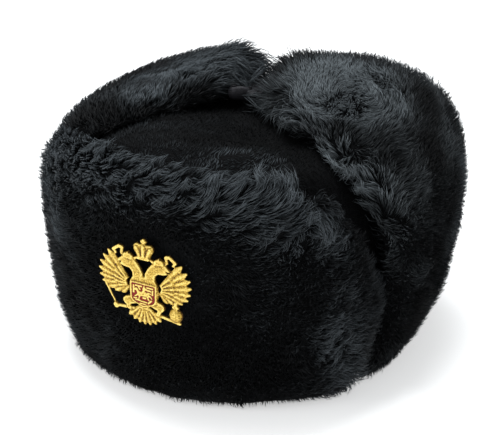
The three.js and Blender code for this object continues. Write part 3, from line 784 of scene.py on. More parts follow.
@dataclass
class Coat:
    """One flap or the crown: its padded hide, and the pile that grows on it.

    Lengths are in millimetres, angles in degrees, and the other numbers are shares or counts.
    """

    node: str
    slot: str
    seed: int
    spikes: int
    locks: int
    length: float = 5.6
    lock_length: float = 7.5
    hair_width: float = 0.6
    lift: float = 56.0
    lay: float = 24.0
    tuft_size: float = 3.2
    tuft_stretch: float = 1.4
    lock_size: float = 9.0
    lock_stretch: float = 1.9
    curl: float = 45.0
    inner_cover: float = 0.1
    shag_cover: float = 0.8
    rim_cover: float = 0.15
    voxel: float = 3.2
    inset: float = 3.6
    thin_inset: float = 0.3
    rim_ease: float = 0.6
    inner_inset: float = -0.25
    rim_height: float = 14.0
    base_light: float = 0.3
    fill: float = 0.7
    gleams: list[Gleam] = field(default_factory=list)
    shags: list[Shag] = field(default_factory=list)
    pile_finish: PileFinish = PileFinish("deep_pile")
    hide_finish: HideFinish = HideFinish("hide")
    centre: tuple = (0, 0, 70)

    def hide(self) -> bpy.types.Object:
        """Makes the hide: the frame's solid, remeshed, evened out and drawn in under the pile.

        Returns:
            The hide.
        """
        made = evened(self.node, f"{self.node}_hide", self.voxel)
        self._draw_in(made.data)
        return made

    def _draw_in(self, mesh: bpy.types.Mesh) -> None:
        """Smooths a mesh and moves its surface inwards, less where the pad is thin and at the rim.

        The side towards the head moves out a little instead, so that the hides meet.

        Args:
            mesh: the mesh.
        """
        shape = bmesh.new()
        shape.from_mesh(mesh)
        for _ in range(3):
            bmesh.ops.smooth_vert(
                shape, verts=shape.verts, factor=0.5, use_axis_x=True, use_axis_y=True, use_axis_z=True,
            )
        bmesh.ops.recalc_face_normals(shape, faces=shape.faces)
        shape.normal_update()
        tree = BVHTree.FromBMesh(shape)
        moves = []
        for vert in shape.verts:
            inwards = -vert.normal
            thick = tree.ray_cast(vert.co + inwards * 0.3 * MM, inwards)[3] or 20 * MM
            low = 1 - min(max(vert.co.z / (self.rim_height * MM), 0), 1)
            outer = (vert.co - Vector(self.centre) * MM).dot(vert.normal) > 0
            reach = min(self.inset * MM, self.thin_inset * thick) * (1 - self.rim_ease * low)
            moves.append(inwards * reach * (1 if outer else self.inner_inset))
        for vert, move in zip(shape.verts, moves):
            vert.co += move
            vert.co.z = max(vert.co.z, 0.2 * MM)
        shape.to_mesh(mesh)
        shape.free()
        mesh.polygons.foreach_set("use_smooth", np.ones(len(mesh.polygons), bool))

    def outwards(self, surface: Surface) -> np.ndarray:
        """Returns for each triangle a number that is above 0 where it faces away from the head."""
        return ((surface.middles - np.array(self.centre) * MM) * surface.facing).sum(1)

    def cover(self, surface: Surface) -> np.ndarray:
        """Works out how densely hairs grow: fully outside, thinly towards the head and under the rim.

        Args:
            surface: the hide.

        Returns:
            A share for each triangle.
        """
        inside = np.maximum(self.inner_cover, self.shag_cover * self.shagginess(surface.middles))
        share = np.where(self.outwards(surface) > 0, 1.0, inside)
        return share * np.where(surface.middles[:, 2] < 1.5 * MM, self.rim_cover, 1.0)

    def comb(self, points: np.ndarray, normals: np.ndarray) -> np.ndarray:
        """Returns the way that the pile lies at each point, before it is laid along the surface."""
        return np.tile([0.0, 0.0, 1.0], (len(points), 1))

    def gleam(self, points: np.ndarray) -> np.ndarray:
        """Returns how far the pile lies sideways and gets painted sheen at each point, from 0 to 1 or so,
        and below 0 where shade is painted.
        """
        return sum((gleam.share(points) for gleam in self.gleams), np.zeros(len(points)))

    def parting(self, points: np.ndarray) -> np.ndarray:
        """Returns how clearly the pile parts into locks at each point, from 0 to 1."""
        share = sum((g.share(points) * g.locks for g in self.gleams if g.gain > 0), np.zeros(len(points)))
        return np.clip(1.6 * share, 0, 1)

    def lightness(self, points: np.ndarray) -> np.ndarray:
        """Works out how light the pile is, in random patches and flecks, with the painted sheen and painted
        shade of the gleams.

        Args:
            points: a row for each point.

        Returns:
            The lightness at each point, from 0 to 1 or so.
        """
        light = self.base_light + 0.1 * Swirl(self.seed + 5, 0.045).level(points)
        light += 0.08 * Swirl(self.seed + 6, 0.014).level(points)
        return light + self.gleam(points)

    def shagginess(self, points: np.ndarray) -> np.ndarray:
        """Returns how shaggy the pile is at each point, from 0 to 1."""
        return np.clip(sum((shag.share(points) for shag in self.shags), np.zeros(len(points))), 0, 1)

    def lie(self, points: np.ndarray, normals: np.ndarray) -> np.ndarray:
        """Works out the way that the pile lies: combed, hanging where it is shaggy, and down at the rim.

        Args:
            points: a row for each point.
            normals: the surface's normals there.

        Returns:
            The way at each point, not yet laid along the surface.
        """
        way = self.comb(points, normals)
        for shag in self.shags:
            share = shag.share(points)[:, None]
            way = way * (1 - share) + 1.6 * share * np.array([shag.way])
        low = (1 - smooth_step(points[:, 2] / MM, 2, 12)) * (1 - self.shagginess(points))
        return way - 1.6 * low[:, None] * np.array([[0, 0, 1.0]])

    def length_share(self, points: np.ndarray) -> np.ndarray:
        """Returns how long the hairs are at each point, as a share of their full length."""
        low = 1 - smooth_step(points[:, 2] / MM, 3, 18)
        return (1 + 2.2 * self.shagginess(points)) * (1 - 0.45 * low)

    def laid(self, root: np.ndarray, normal: np.ndarray, turn: np.ndarray) -> np.ndarray:
        """Lays the pile's way along the surface, stirs it a little and turns it.

        Args:
            root: the hairs' roots.
            normal: the surface's normals there.
            turn: how far each hair is turned.

        Returns:
            The way that each hair lies.
        """
        stir = 0.5 * Swirl(self.seed, 0.05).at(root) + 0.25 * Swirl(self.seed + 1, 0.016).at(root)
        way = self.lie(root, normal) + stir
        lain = unit(way - (way * normal).sum(1, keepdims=True) * normal)
        turn = np.radians(np.clip(turn, -GROWTH.most_turn, GROWTH.most_turn))[:, None]
        return lain * np.cos(turn) + np.cross(normal, lain) * np.sin(turn)

    def strands(
        self, surface: Surface, kind: Hair, count: int, plans: tuple[LockPlan, LockPlan],
        rng: np.random.Generator,
    ) -> Strands:
        """Grows hairs of one kind on a surface.

        Args:
            surface: the hide.
            kind: the kind of hair.
            count: how many.
            plans: the small tufts and the large locks that the hairs fall into.
            rng: the source of chance.

        Returns:
            The hairs.
        """
        bent = kind is Hair.LOCK
        cover = self.cover(surface)
        if bent:
            cover = cover * (GROWTH.lock_cover + np.clip(self.gleam(surface.middles), 0, 1))
        root, normal = surface.scatter(count, cover, rng)
        gleam, parting = np.clip(GROWTH.gleam_gain * self.gleam(root), 0, 1), self.parting(root)
        tufts, locks = plans
        tuft, lock = tufts.parted(root), locks.parted(root)
        along = lock.along / (GROWTH.half_lock * MM)
        length = (self.lock_length if bent else self.length) * MM * self.length_share(root)
        length = length * rng.uniform(*GROWTH.length_spread, count)
        length *= np.clip(1 + GROWTH.reach * parting * locks.reach[lock.lock], *GROWTH.reach_limits)

        turn = raised(GROWTH.turn, parting) * locks.turn[lock.lock] + self.curl * parting * along
        lain = self.laid(root, normal, turn)
        low, shaggy = 1 - smooth_step(root[:, 2] / MM, *GROWTH.rim_heights), self.shagginess(root)
        lift = self.lift - self.lay * gleam - GROWTH.rim_drop * low - GROWTH.shag_drop * shaggy
        lift += (raised(GROWTH.lock_lift, parting) + GROWTH.shag_lift * shaggy) * locks.lift[lock.lock]
        lift += rng.normal(0, GROWTH.lift_scatter, count)
        lift = np.radians(np.clip(lift, *GROWTH.lift_limits))[:, None]
        stray = rng.normal(0, GROWTH.scatter, (count, 3))
        ahead = unit(normal * np.sin(lift) + lain * np.cos(lift) + stray)

        tip = root + ahead * length[:, None]
        pull = raised(GROWTH.tuft_pull, parting) * rng.uniform(*GROWTH.tuft_pull_spread, count)
        tip = tufts.drawn(tuft, root, tip, pull)
        pull = raised(GROWTH.lock_pull, parting) * rng.uniform(*GROWTH.lock_pull_spread, count)
        tip = locks.drawn(lock, root, tip, pull)
        bend = (GROWTH.bend * length)[:, None] if bent else 0.0
        middle = root + (tip - root) * GROWTH.middle + normal * bend * 0.4
        tip = tip + (lain * 0.4 - normal * 0.3) * bend
        root = root - normal * GROWTH.rooted * MM
        root[:, 2] = np.maximum(root[:, 2], GROWTH.root_height * MM)
        for spots in (middle, tip):
            spots[:, 2] = np.maximum(spots[:, 2], GROWTH.tip_height * MM)

        # Lightness: painted sheen and shade from the gleams, random tones of locks and tufts, painted shade
        # at lock edges, a painted highlight towards each lock's end and painted sheen on the long hairs.
        light = self.lightness(root) + raised(GROWTH.lock_tone, parting) * locks.tone[lock.lock]
        light += raised(GROWTH.tuft_tone, gleam) * tufts.tone[tuft.lock]
        light -= raised(GROWTH.edge_shade, parting) * lock.edge
        light += GROWTH.end_shine * parting * np.clip(along, -1, 1)
        light += rng.normal(0, GROWTH.tone_scatter, count) * (1 + gleam)
        light += GROWTH.long_shine if bent else 0.0
        width = self.hair_width * MM * rng.uniform(*GROWTH.width_spread, count)
        roll = rng.uniform(0, 2 * math.pi, count)
        return Strands(kind, root, middle, tip, width, np.clip(light, 0.02, 1.0), roll)

    def build(self) -> list[bpy.types.Object]:
        """Builds the hide and the pile.

        Returns:
            The two pieces.
        """
        rng = np.random.default_rng(self.seed)
        hide = self.hide()
        hide.data.materials.append(self.hide_finish.material())
        surface = Surface(hide.data)
        log.info("%s: %.0f cm2 to cover", self.node, (surface.areas * self.cover(surface)).sum() * 1e4)
        plans = (
            LockPlan(surface, self.lie, self.tuft_size, self.tuft_stretch, self.seed + 20),
            LockPlan(surface, self.lie, self.lock_size, self.lock_stretch, self.seed + 21),
        )
        groups = [
            self.strands(surface, kind, count, plans, rng)
            for kind, count in ((Hair.SPIKE, self.spikes), (Hair.LOCK, self.locks)) if count
        ]
        pile = hair_object(f"{self.node}_pile", groups)
        pile.data.materials.append(self.pile_finish.material())
        for piece in (hide, pile):
            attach(piece, ROOT)
        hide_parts(self.node)
        return [hide, pile]


def away_from_badge(points: np.ndarray) -> np.ndarray:
    """Works out the distance from the badge's middle, as seen from the front.

    Args:
        points: a row for each point.

    Returns:
        The distances in millimetres, made large for points that aren't on the cap's front.
    """
    offset = points - np.array(BADGE_MIDDLE)
    behind = points[:, 1] > -60 * MM
    return np.hypot(offset[:, 0], offset[:, 2]) / MM + 500.0 * behind


@dataclass
class FrontFlap(Coat):
    """The flap over the forehead, with the pile pressed down round the badge and a crest along its top.

    The heights are above the rim and the distances from the badge's middle. Each pair says where a change
    begins and where it ends.
    """

    crest_heights: tuple = (95, 120)
    long_heights: tuple = (95, 135)
    top_heights: tuple = (128, 145)
    upright_sides: tuple = (36, 62)
    upright_heights: tuple = (122, 134)
    pressed: tuple = (20, 42)

    def comb(self, points: np.ndarray, normals: np.ndarray) -> np.ndarray:
        """Works out the pile's way: up, outwards towards the sides, and swept sideways in the crest.

        Args:
            points: a row for each point.
            normals: the surface's normals there, which are not used.

        Returns:
            The way at each point.
        """
        side, height = points[:, 0] / MM, points[:, 2] / MM
        crest = smooth_step(height, *self.crest_heights)
        crest = crest * (1 - 0.45 * smooth_step(height, *self.top_heights))
        upright = smooth_step(side, *self.upright_sides) * smooth_step(height, *self.upright_heights)
        sideways = 0.25 + 0.005 * side + 2.0 * crest * (1 - upright)
        return np.stack([sideways, np.zeros(len(points)), np.ones(len(points))], 1)

    def length_share(self, points: np.ndarray) -> np.ndarray:
        """Works out the hairs' length: short round the badge, long along the crest.

        Args:
            points: a row for each point.

        Returns:
            A share of the full length at each point.
        """
        near = smooth_step(away_from_badge(points), *self.pressed)
        crest = smooth_step(points[:, 2] / MM, *self.long_heights)
        return super().length_share(points) * (0.3 + 0.7 * near) * (1 + 0.25 * crest)


@dataclass
class EarFlap(Coat):
    """An ear flap, with its pile lying from the rim up towards the flap's tip."""

    tip: tuple = (0, 20, 150)
    aim: float = 1.0
    side_way: tuple = (0, 0, 0)
    top_way: tuple = (0, 0, 0)

    def comb(self, points: np.ndarray, normals: np.ndarray) -> np.ndarray:
        """Works out the pile's way: partly towards the flap's tip, and steady on its side and on its top.

        Args:
            points: a row for each point.
            normals: the surface's normals there.

        Returns:
            The way at each point.
        """
        level = smooth_step(normals[:, 2:], 0.3, 0.8)
        steady = np.array([self.side_way]) * (1 - level) + np.array([self.top_way]) * level
        return unit(np.array([self.tip]) * MM - points) * self.aim + steady


@dataclass
class Crown(Coat):
    """The crown, with its short pile combed towards the back and the wearer's left."""

    way: tuple = (0.8, 0.45, -0.2)
    side_cover: float = 0.12
    top_heights: tuple = (80, 105)

    def comb(self, points: np.ndarray, normals: np.ndarray) -> np.ndarray:
        """Returns the pile's way."""
        return np.tile(self.way, (len(points), 1))

    def cover(self, surface: Surface) -> np.ndarray:
        """Works out how densely hairs grow: fully on the top, thinly down the sides, and not inside.

        Args:
            surface: the hide.

        Returns:
            A share for each triangle.
        """
        high = smooth_step(surface.middles[:, 2] / MM, *self.top_heights)
        return np.where(self.outwards(surface) > 0, self.side_cover + (1 - self.side_cover) * high, 0.0)


@dataclass
class Ribbons:
    """The two ties, and the knot between them with its one standing loop. Millimetres."""

    finish: SatinFinish = SatinFinish("ribbon_satin")
    knot_finish: SatinFinish = SatinFinish("knot_satin", (0.003, 0.003, 0.0035), (0.024, 0.023, 0.028))
    knot: tuple = (-3.5, -3.0, 148.0)
    knot_half: tuple = (4.0, 3.6, 3.3)
    folds: tuple = ((0.09, (3.5, 0, 5)), (0.05, (9, -4, 0)))
    heading: float = 200.0
    loop_length: float = 13.0
    loop_bulge: float = 3.2
    pinch: float = 0.7
    sag: float = 0.5
    puff: float = 1.6
    width: float = 8.4
    thickness: float = 0.5
    steps: int = 28
    rows: int = 6

    def loop(self) -> bpy.types.Object:
        """Makes the loop: a ribbon on edge, out from the knot and back, pinched together along its top.

        Returns:
            The loop.
        """
        shape = bmesh.new()
        turn = math.radians(self.heading)
        ahead = Vector((math.cos(turn), math.sin(turn), 0))
        aside = Vector((-math.sin(turn), math.cos(turn), 0))
        columns = []
        for step in range(self.steps + 1):
            angle = 2 * math.pi * step / self.steps
            out = (1 - math.cos(angle)) / 2
            swing = self.loop_bulge * math.sin(angle) * (0.25 + 0.75 * out)
            sag = self.sag * math.sin(3 * angle)
            low = Vector(self.knot) + ahead * self.loop_length * out + aside * swing
            high = low - aside * swing * self.pinch - ahead * (0.8 * out + sag * 0.4)
            low.z, high.z = self.knot[2] - self.width / 2 + 0.9 * out, self.knot[2] + self.width / 2 - sag
            puff = (aside * math.sin(angle) + ahead * out) * self.puff
            shares = [row / self.rows for row in range(self.rows + 1)]
            spots = [low.lerp(high, share) + puff * math.sin(math.pi * share) for share in shares]
            columns.append([shape.verts.new(spot * MM) for spot in spots])
        for first, second in zip(columns, columns[1:]):
            for row in range(self.rows):
                shape.faces.new((first[row], second[row], second[row + 1], first[row + 1]))
        bmesh.ops.remove_doubles(shape, verts=shape.verts, dist=0.01 * MM)
        bmesh.ops.recalc_face_normals(shape, faces=shape.faces)
        bmesh.ops.solidify(shape, geom=shape.faces[:], thickness=self.thickness * MM)
        return self._finished("tie_loop", shape)

    def lump(self) -> bpy.types.Object:
        """Makes the knot: a ball that slanting folds run round.

        Returns:
            The knot.
        """
        shape = bmesh.new()
        bmesh.ops.create_icosphere(shape, subdivisions=4, radius=1.0)
        for vert in shape.verts:
            vert.co *= 1 + sum(deep * math.sin(vert.co.dot(Vector(slant))) for deep, slant in self.folds)
        bmesh.ops.scale(shape, verts=shape.verts, vec=Vector(self.knot_half) * MM)
        bmesh.ops.translate(shape, verts=shape.verts, vec=Vector(self.knot) * MM)
        return self._finished("tie_lump", shape)

    def _finished(self, name: str, shape: bmesh.types.BMesh) -> bpy.types.Object:
        """Makes a bmesh a smooth satin piece.

        Args:
            name: the piece's name.
            shape: the bmesh, which is freed.

        Returns:
            The piece.
        """
        mesh = bpy.data.meshes.new(name)
        bmesh.ops.recalc_face_normals(shape, faces=shape.faces)
        shape.to_mesh(mesh)
        shape.free()
        mesh.polygons.foreach_set("use_smooth", np.ones(len(mesh.polygons), bool))
        mesh.materials.append(self.knot_finish.material())
        made = bpy.data.objects.new(name, mesh)
        bpy.context.scene.collection.objects.link(made)
        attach(made, ROOT)
        return made

    def build(self) -> list[bpy.types.Object]:
        """Builds the knot and its loop, and dresses the ties as the frame has them.

        Returns:
            The pieces.
        """
        made = [self.loop(), self.lump()]
        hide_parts("tie_knot")
        material = self.finish.material()
        for name in ("left_tie", "right_tie"):
            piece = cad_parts[name]
            piece.data.materials.clear()
            piece.data.materials.append(material)
            made.append(piece)
        return made


@dataclass
class Badge:
    """The cast eagle, rounded and with painted shade in its hollows, and the enamel of its shield.
    Millimetres.

    The bars are the raised gilt ground round the figure on the shield, each from one point to another
    with a radius, drawn flat with x to the viewer's right and y up.
    """

    tilt: float = 4.0
    side: float = 1.2
    rise: float = 78.5
    post_length: float = 7.0
    post_radius: float = 1.5
    voxel: float = 0.36
    spread: int = 6
    deep: float = 0.12
    bar_top: float = 2.6
    bar_depth: float = 0.8
    bar_round: float = 0.25
    bars: tuple = (
        ((-5.7, -1.2), (-5.7, -5.0), 0.55),
        ((-4.4, -0.8), (-1.0, -0.8), 0.5),
        ((2.3, -0.8), (5.6, -0.8), 0.5),
        ((5.8, -2.0), (5.6, -4.4), 0.5),
        ((3.0, -3.9), (4.4, -4.1), 0.45),
        ((4.9, -8.2), (3.2, -9.9), 0.5),
        ((-1.8, -11.0), (1.6, -11.0), 0.4),
        ((-3.0, -0.9), (-2.0, -2.6), 0.5),
        ((-5.4, -8.4), (-4.0, -8.2), 0.45),
        ((0.2, -7.4), (1.4, -7.3), 0.6),
    )
    gilt: GiltFinish = GiltFinish("gilt")
    enamel: EnamelFinish = EnamelFinish("red_enamel")

    def seat(self) -> Matrix:
        """Works out the place of the badge's flat drawing from the end of its post.

        Returns:
            The place, in millimetres.
        """
        tilt = math.radians(self.tilt)
        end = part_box("badge_eagle")[1][1] / MM
        back = end - self.post_length * math.cos(tilt) - self.post_radius * math.sin(tilt)
        place = Matrix.Translation((self.side, back, self.rise))
        return place @ Matrix.Rotation(math.pi / 2 + tilt, 4, "X")

    def cast(self) -> bpy.types.Object:
        """Makes the casting with its edges rounded.

        Returns:
            The casting.
        """
        made = evened("badge_eagle", "badge_cast", self.voxel)
        shape = bmesh.new()
        shape.from_mesh(made.data)
        for _ in range(2):
            bmesh.ops.smooth_vert(
                shape, verts=shape.verts, factor=0.5, use_axis_x=True, use_axis_y=True, use_axis_z=True,
            )
        bars = self._bars()
        shape.from_mesh(bars)
        bpy.data.meshes.remove(bars)
        bmesh.ops.recalc_face_normals(shape, faces=shape.faces)
        shape.to_mesh(made.data)
        shape.free()
        made.data.polygons.foreach_set("use_smooth", np.ones(len(made.data.polygons), bool))
        self._mark_painted_light(made.data)
        made.data.materials.append(self.gilt.material())
        return made

    def _bars(self) -> bpy.types.Mesh:
        """Makes the gilt ground on the shield, each bar a rounded block.

        Returns:
            The bars as one mesh.
        """
        whole = bmesh.new()
        for start, end, radius in self.bars:
            length = math.dist(start, end)
            bar = bmesh.new()
            bmesh.ops.create_cube(bar, size=1.0)
            bmesh.ops.scale(bar, verts=bar.verts, vec=(length + 2 * radius, 2 * radius, self.bar_depth))
            bmesh.ops.bevel(
                bar, geom=bar.edges[:], offset=self.bar_round, segments=2, profile=0.5, material=-1,
                affect="EDGES",
            )
            turn = math.atan2(end[1] - start[1], end[0] - start[0])
            height = self.bar_top - self.bar_depth / 2
            middle = Matrix.Translation(((start[0] + end[0]) / 2, (start[1] + end[1]) / 2, height))
            place = self.seat() @ middle @ Matrix.Rotation(turn, 4, "Z")
            bmesh.ops.transform(bar, matrix=Matrix.Scale(MM, 4) @ place, verts=bar.verts)
            piece = bpy.data.meshes.new("bar")
            bar.to_mesh(piece)
            bar.free()
            whole.from_mesh(piece)
            bpy.data.meshes.remove(piece)
        mesh = bpy.data.meshes.new("bars")
        whole.to_mesh(mesh)
        whole.free()
        return mesh

    def _mark_painted_light(self, mesh: bpy.types.Mesh) -> None:
        """Writes a mask for painted light: how high each point of a casting stands over the points around
        it, 0.5 level with them, and lower where it turns away from the front, as painted shade on its
        flanks.

        Args:
            mesh: the casting, which gets the heights as an attribute.
        """
        count = len(mesh.vertices)
        spots, normals = np.zeros(count * 3, np.float32), np.zeros(count * 3, np.float32)
        mesh.vertices.foreach_get("co", spots)
        mesh.vertex_normals.foreach_get("vector", normals)
        ends = np.zeros(len(mesh.edges) * 2, np.int32)
        mesh.edges.foreach_get("vertices", ends)
        first, second = ends.reshape(-1, 2).T
        out = np.array((self.seat().to_3x3() @ Vector((0, 0, 1))).normalized())
        height = spots.reshape(-1, 3) @ out
        facing = np.clip(normals.reshape(-1, 3) @ out, 0, 1)
        around = np.bincount(first, minlength=count) + np.bincount(second, minlength=count)
        level = height
        for _ in range(self.spread):
            heap = np.bincount(first, level[second], count) + np.bincount(second, level[first], count)
            level = heap / np.maximum(around, 1)
        stand = np.clip((height - level) / (self.deep * MM), -1, 1)
        # painted shade on the flanks that turn away from the front
        values = np.clip(0.5 + 0.5 * stand, 0, 1) * (0.35 + 0.65 * facing ** 3)
        mesh.attributes.new(PAINTED_LIGHT_MASK, "FLOAT", "POINT").data.foreach_set("value", values.astype(np.float32))

    def build(self) -> list[bpy.types.Object]:
        """Builds the casting and dresses the enamel.

        Returns:
            The pieces.
        """
        eagle = self.cast()
        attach(eagle, ROOT)
        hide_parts("badge_eagle")
        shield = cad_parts["badge_shield"]
        shield.data.materials.clear()
        shield.data.materials.append(self.enamel.material())
        return [eagle, shield]


@dataclass(frozen=True)
class SoftLight:
    """A square soft light that points at the cap. Metres and watts."""

    name: str
    place: tuple
    size: float
    power: float
    colour: tuple = (1.0, 1.0, 1.0)
    aim: tuple = (0.0, 0.0, 0.09)

    def build(self) -> None:
        """Hangs the light."""
        data = bpy.data.lights.new(self.name, "AREA")
        data.size = self.size
        data.energy = self.power
        data.color = self.colour
        made = bpy.data.objects.new(self.name, data)
        made.location = self.place
        made.rotation_euler = (Vector(self.place) - Vector(self.aim)).to_track_quat("Z", "Y").to_euler()
        bpy.context.scene.collection.objects.link(made)


@dataclass
class Studio:
    """The camera, the pale floor and the soft lights. Metres and degrees."""

    azimuth: float = 25.0
    elevation: float = 22.0
    roll: float = 3.0
    distance: float = 0.9
    lens: float = 107.6
    target: tuple = (-0.0016, -0.0008, 0.0703)
    floor_half: float = 8.0
    sky: tuple = (0.95, 0.98, 1.0)
    sky_strength: float = 0.5
    lights: tuple = (
        SoftLight("overhead", (-0.25, 0.1, 1.3), 0.8, 20.0, (0.95, 0.98, 1.0)),
        SoftLight("front_left", (-0.9, -1.1, 0.7), 0.5, 5.0),
    )

    def camera(self) -> None:
        """Makes the camera at the photograph's angle."""
        azimuth, elevation, roll = (math.radians(a) for a in (self.azimuth, self.elevation, self.roll))
        level = math.cos(elevation)
        back = Vector((math.sin(azimuth) * level, -math.cos(azimuth) * level, math.sin(elevation)))
        right = Vector((math.cos(azimuth), math.sin(azimuth), 0))
        up = back.cross(right)
        turned_right = right * math.cos(roll) + up * math.sin(roll)
        turned_up = up * math.cos(roll) - right * math.sin(roll)
        data = bpy.data.cameras.new("camera")
        data.lens = self.lens
        data.sensor_width = 36
        made = bpy.data.objects.new("camera", data)
        axes = Matrix((turned_right, turned_up, back)).transposed().to_4x4()
        made.matrix_world = Matrix.Translation(Vector(self.target) + back * self.distance) @ axes
        bpy.context.scene.collection.objects.link(made)
        bpy.context.scene.camera = made

    def floor(self) -> None:
        """Makes the floor."""
        shape = bmesh.new()
        bmesh.ops.create_grid(shape, x_segments=1, y_segments=1, size=self.floor_half)
        mesh = bpy.data.meshes.new("floor")
        shape.to_mesh(mesh)
        shape.free()
        mesh.materials.append(FloorFinish("pale_floor").material())
        made = bpy.data.objects.new("floor", mesh)
        bpy.context.scene.collection.objects.link(made)

    def world(self) -> None:
        """Makes the even light from all round."""
        world = bpy.data.worlds.new("studio")
        world.use_nodes = True
        background = world.node_tree.nodes["Background"]
        background.inputs["Color"].default_value = (*self.sky, 1.0)
        background.inputs["Strength"].default_value = self.sky_strength
        bpy.context.scene.world = world

    def build(self) -> None:
        """Sets up the studio."""
        self.camera()
        self.floor()
        self.world()
        for light in self.lights:
            light.build()
        bpy.context.scene.view_settings.view_transform = "Standard"


def front_flap() -> Coat:
    """Describes the flap over the forehead.

    Returns:
        The flap, with painted sheen along its crest and its right edge, and painted shade over its middle.
    """
    gleams = [
        Gleam((-66, -115, 128), (-40, -130, 140), 17, 0.5),
        Gleam((-40, -130, 141), (3, -134, 145), 14, 0.5),
        Gleam((3, -134, 144), (46, -127, 139), 13, 0.55),
        Gleam((46, -127, 138), (75, -106, 130), 14, 0.5),
        Gleam((75, -106, 128), (90, -91, 105), 12, 0.42),
        Gleam((92, -88, 100), (96, -76, 60), 9, 0.32),
        Gleam((93, -84, 66), (88, -82, 46), 10, 0.3),
        Gleam((88, -82, 44), (90, -64, 8), 14, 0.75),
        Gleam((85, -91, 122), (89, -96, 108), 9, 0.35),
        Gleam((58, -115, 96), (66, -112, 88), 14, 0.14, 0.5),
        Gleam((-36, -134, 128), (28, -137, 130), 9, 0.45, 0.7),
        Gleam((10, -139, 126), (30, -136, 124), 8, 0.3, 0.7),
        Gleam((38, -131, 124), (66, -116, 114), 10, 0.48),
        Gleam((62, -116, 110), (86, -98, 104), 10, 0.5),
        Gleam((-72, -110, 130), (-66, -112, 85), 10, 0.55),
        Gleam((-50, -118, 70), (-43, -121, 50), 12, 0.1, 0.5),
        Gleam((10, -130, 50), (45, -115, 50), 48, -0.25),
    ]
    shags = [
        Shag((94, -64, 12), (1.0, 0.6, -0.1), 14, 0.8),
        Shag((50, -120, 142), (0.8, 0.3, 0.6), 20, 0.1),
        Shag((72, -104, 135), (0.5, 0.3, 1.0), 16, 0.3),
    ]
    return FrontFlap(
        "front_flap", "fur", 11, spikes=34000, locks=6200, lock_size=5.5, lock_stretch=2.2, hair_width=0.52,
        gleams=gleams, shags=shags,
    )


def left_ear_flap() -> Coat:
    """Describes the wearer's left ear flap.

    Returns:
        The flap, with painted sheen on its top and painted shade down its outer side, by its tip and in a
        few thin streaks, with long hair round its tip.
    """
    gleams = [
        Gleam((26, 4, 162), (46, 8, 165), 22, 0.9, 0.12),
        Gleam((46, 8, 165), (78, 15, 159), 22, 0.78, 0.12),
        Gleam((0, 34, 160), (20, -6, 157), 13, -0.7),
        Gleam((52, -24, 156), (68, -20, 156), 10, 0.45, 0.1),
        Gleam((40, -26, 154), (68, -22, 155), 12, 0.6, 0.2),
        Gleam((50, -8, 161), (66, -14, 158), 9, 0.3, 0.1),
        Gleam((58, -38, 146), (68, -40, 144), 7, 0.25, 0.6),
        Gleam((72, -42, 136), (79, -44, 129), 7, 0.35, 0.8),
        Gleam((80, -13, 150), (93, 2, 143), 15, 0.25, 0.6),
        Gleam((38, -30, 150), (56, -39, 143), 6, 0.15),
        Gleam((66, -43, 137), (90, -45, 121), 8, 0.5),
        Gleam((92, -46, 118), (106, -43, 96), 10, 0.6),
        Gleam((14, -14, 148), (22, -17, 143), 9, 0.5, 0.8),
        Gleam((87, 32, 151), (108, 4, 132), 16, -0.3),
        Gleam((108, 8, 128), (118, -3, 95), 18, -0.25),
        Gleam((118, -3, 95), (116, -18, 51), 25, -0.12),
        Gleam((48, -34, 148), (66, -36, 143), 4, -0.25),
        Gleam((22, 42, 166), (65, 44, 164), 8, -0.25),
    ]
    shags = [
        Shag((-5, 33, 152), (-1.0, -0.2, -0.4), 16),
        Shag((0, 12, 150), (-0.8, -0.5, -0.5), 13),
        Shag((14, -8, 147), (-0.9, -0.3, -0.5), 12, 0.8),
        Shag((32, -24, 146), (-1.0, -0.1, -0.6), 11, 0.5),
        Shag((76, -42, 130), (-0.9, -0.2, 0.3), 11, 0.45),
        Shag((92, -42, 114), (-0.9, -0.2, 0.4), 11, 0.4),
        Shag((100, -46, 6), (-0.6, -1.0, 0.0), 11, 0.8),
        Shag((90, 66, 143), (0.6, 0.0, 0.9), 24, 0.3),
    ]
    return EarFlap(
        "left_ear_flap", "fur", 23, spikes=34000, locks=6200, tip=(-10, 20, 150), aim=0.15, lay=12.0,
        side_way=(-0.2, -0.35, 1.0), top_way=(-0.4, 0.8, 0.1), hair_width=0.52, gleams=gleams, shags=shags,
        # A copy of the pile finish with lighter tips, for the painted sheen on this flap's top.
        pile_finish=PileFinish("sheen_pile", light_tip=(0.175, 0.2, 0.215)),
    )


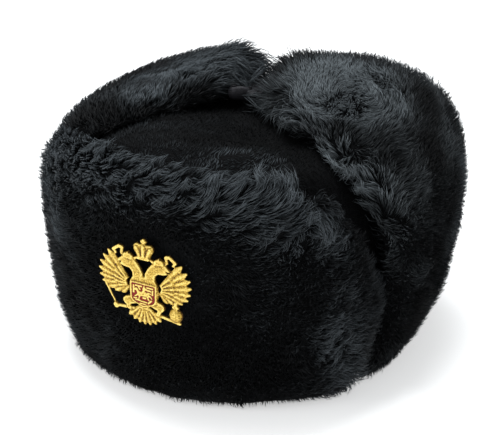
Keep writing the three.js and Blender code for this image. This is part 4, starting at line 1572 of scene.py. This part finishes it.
def right_ear_flap() -> Coat:
    """Describes the wearer's right ear flap.

    Returns:
        The flap, with painted sheen along the middle of its upper part and painted shade along its lower
        edge and its outer side.
    """
    gleams = [
        Gleam((-71, -20, 150), (-43, -16, 156), 11, 0.5, 0.6),
        Gleam((-50, 0, 158), (-28, 4, 161), 12, 0.85, 0.4),
        Gleam((-62, -46, 146), (-44, -40, 148), 8, 0.6, 0.7),
        Gleam((-43, -14, 156), (-30, -8, 157), 9, 0.5, 0.4),
        Gleam((-32, 2, 160), (-20, 16, 160), 9, 0.45, 0.4),
        Gleam((-72, -63, 133), (-46, -50, 137), 6.5, -0.5),
        Gleam((-46, -48, 138), (-26, -20, 143), 6.5, -0.5),
        Gleam((-86, -50, 136), (-66, -54, 140), 7, -0.3),
        Gleam((-90, -30, 142), (-84, -20, 146), 10, -0.2),
        Gleam((-95, -20, 140), (-60, 25, 160), 9, -0.35),
    ]
    shags = [Shag((-19, 26, 157), (1.0, 0.1, -1.2), 19), Shag((-22, 0, 150), (1.0, 0.1, -0.8), 12)]
    return EarFlap(
        "right_ear_flap", "fur", 37, spikes=25000, locks=8500, tip=(5, 26, 166), base_light=0.27,
        gleams=gleams, shags=shags,
    )


def nape_flap() -> Coat:
    """Returns the flap at the back, in plain fur."""
    return Coat("nape_flap", "fur", 41, spikes=19000, locks=2500, hair_width=0.75)


def crown() -> Coat:
    """Describes the crown.

    Returns:
        The crown, with painted sheen on the fold behind the front flap, and painted shade in the valley
        behind that and beside the left ear flap.
    """
    gleams = [
        Gleam((-20, -92, 134), (50, -82, 134), 10, 0.52, 0.5),
        Gleam((-26, -70, 136), (-60, -60, 130), 12, 0.12, 0.5),
        Gleam((-40, -24, 138), (19, -12, 137), 18, -0.2),
        Gleam((6, -48, 137), (44, -34, 134), 13, -0.5),
        Gleam((-52, -58, 137), (-14, -52, 138), 12, 0.16),
        Gleam((-14, -80, 138), (12, -80, 138), 6, 0.3),
        Gleam((12, -80, 138), (50, -68, 137), 7, 0.45),
        Gleam((46, -44, 132), (78, -50, 110), 18, -0.5),
    ]
    return Crown(
        "crown", "plush", 53, spikes=30000, locks=0, length=3.2, hair_width=0.5, lift=55.0, inset=0.4,
        voxel=3.6, fill=0.3, base_light=0.19, gleams=gleams,
        shags=[Shag((-8, 24, 140), (-0.4, -0.6, 1.0), 14)],
        pile_finish=PileFinish("short_pile", dark_tip=(0.002, 0.0022, 0.0025), specular=0.05),
        hide_finish=HideFinish("crown_cloth", light=(0.003, 0.0032, 0.0036)),
    )


def main() -> None:
    """Builds the studio and dresses the cap piece by piece."""
    logging.basicConfig(level=logging.INFO, format="%(name)s: %(message)s")
    Studio().build()
    coats = [front_flap(), left_ear_flap(), right_ear_flap(), nape_flap(), crown()]
    for maker in [*coats, Ribbons(), Badge()]:
        for piece in maker.build():
            log.info("%s: %d faces", piece.name, len(piece.data.polygons))


if __name__ == "__main__":
    main()
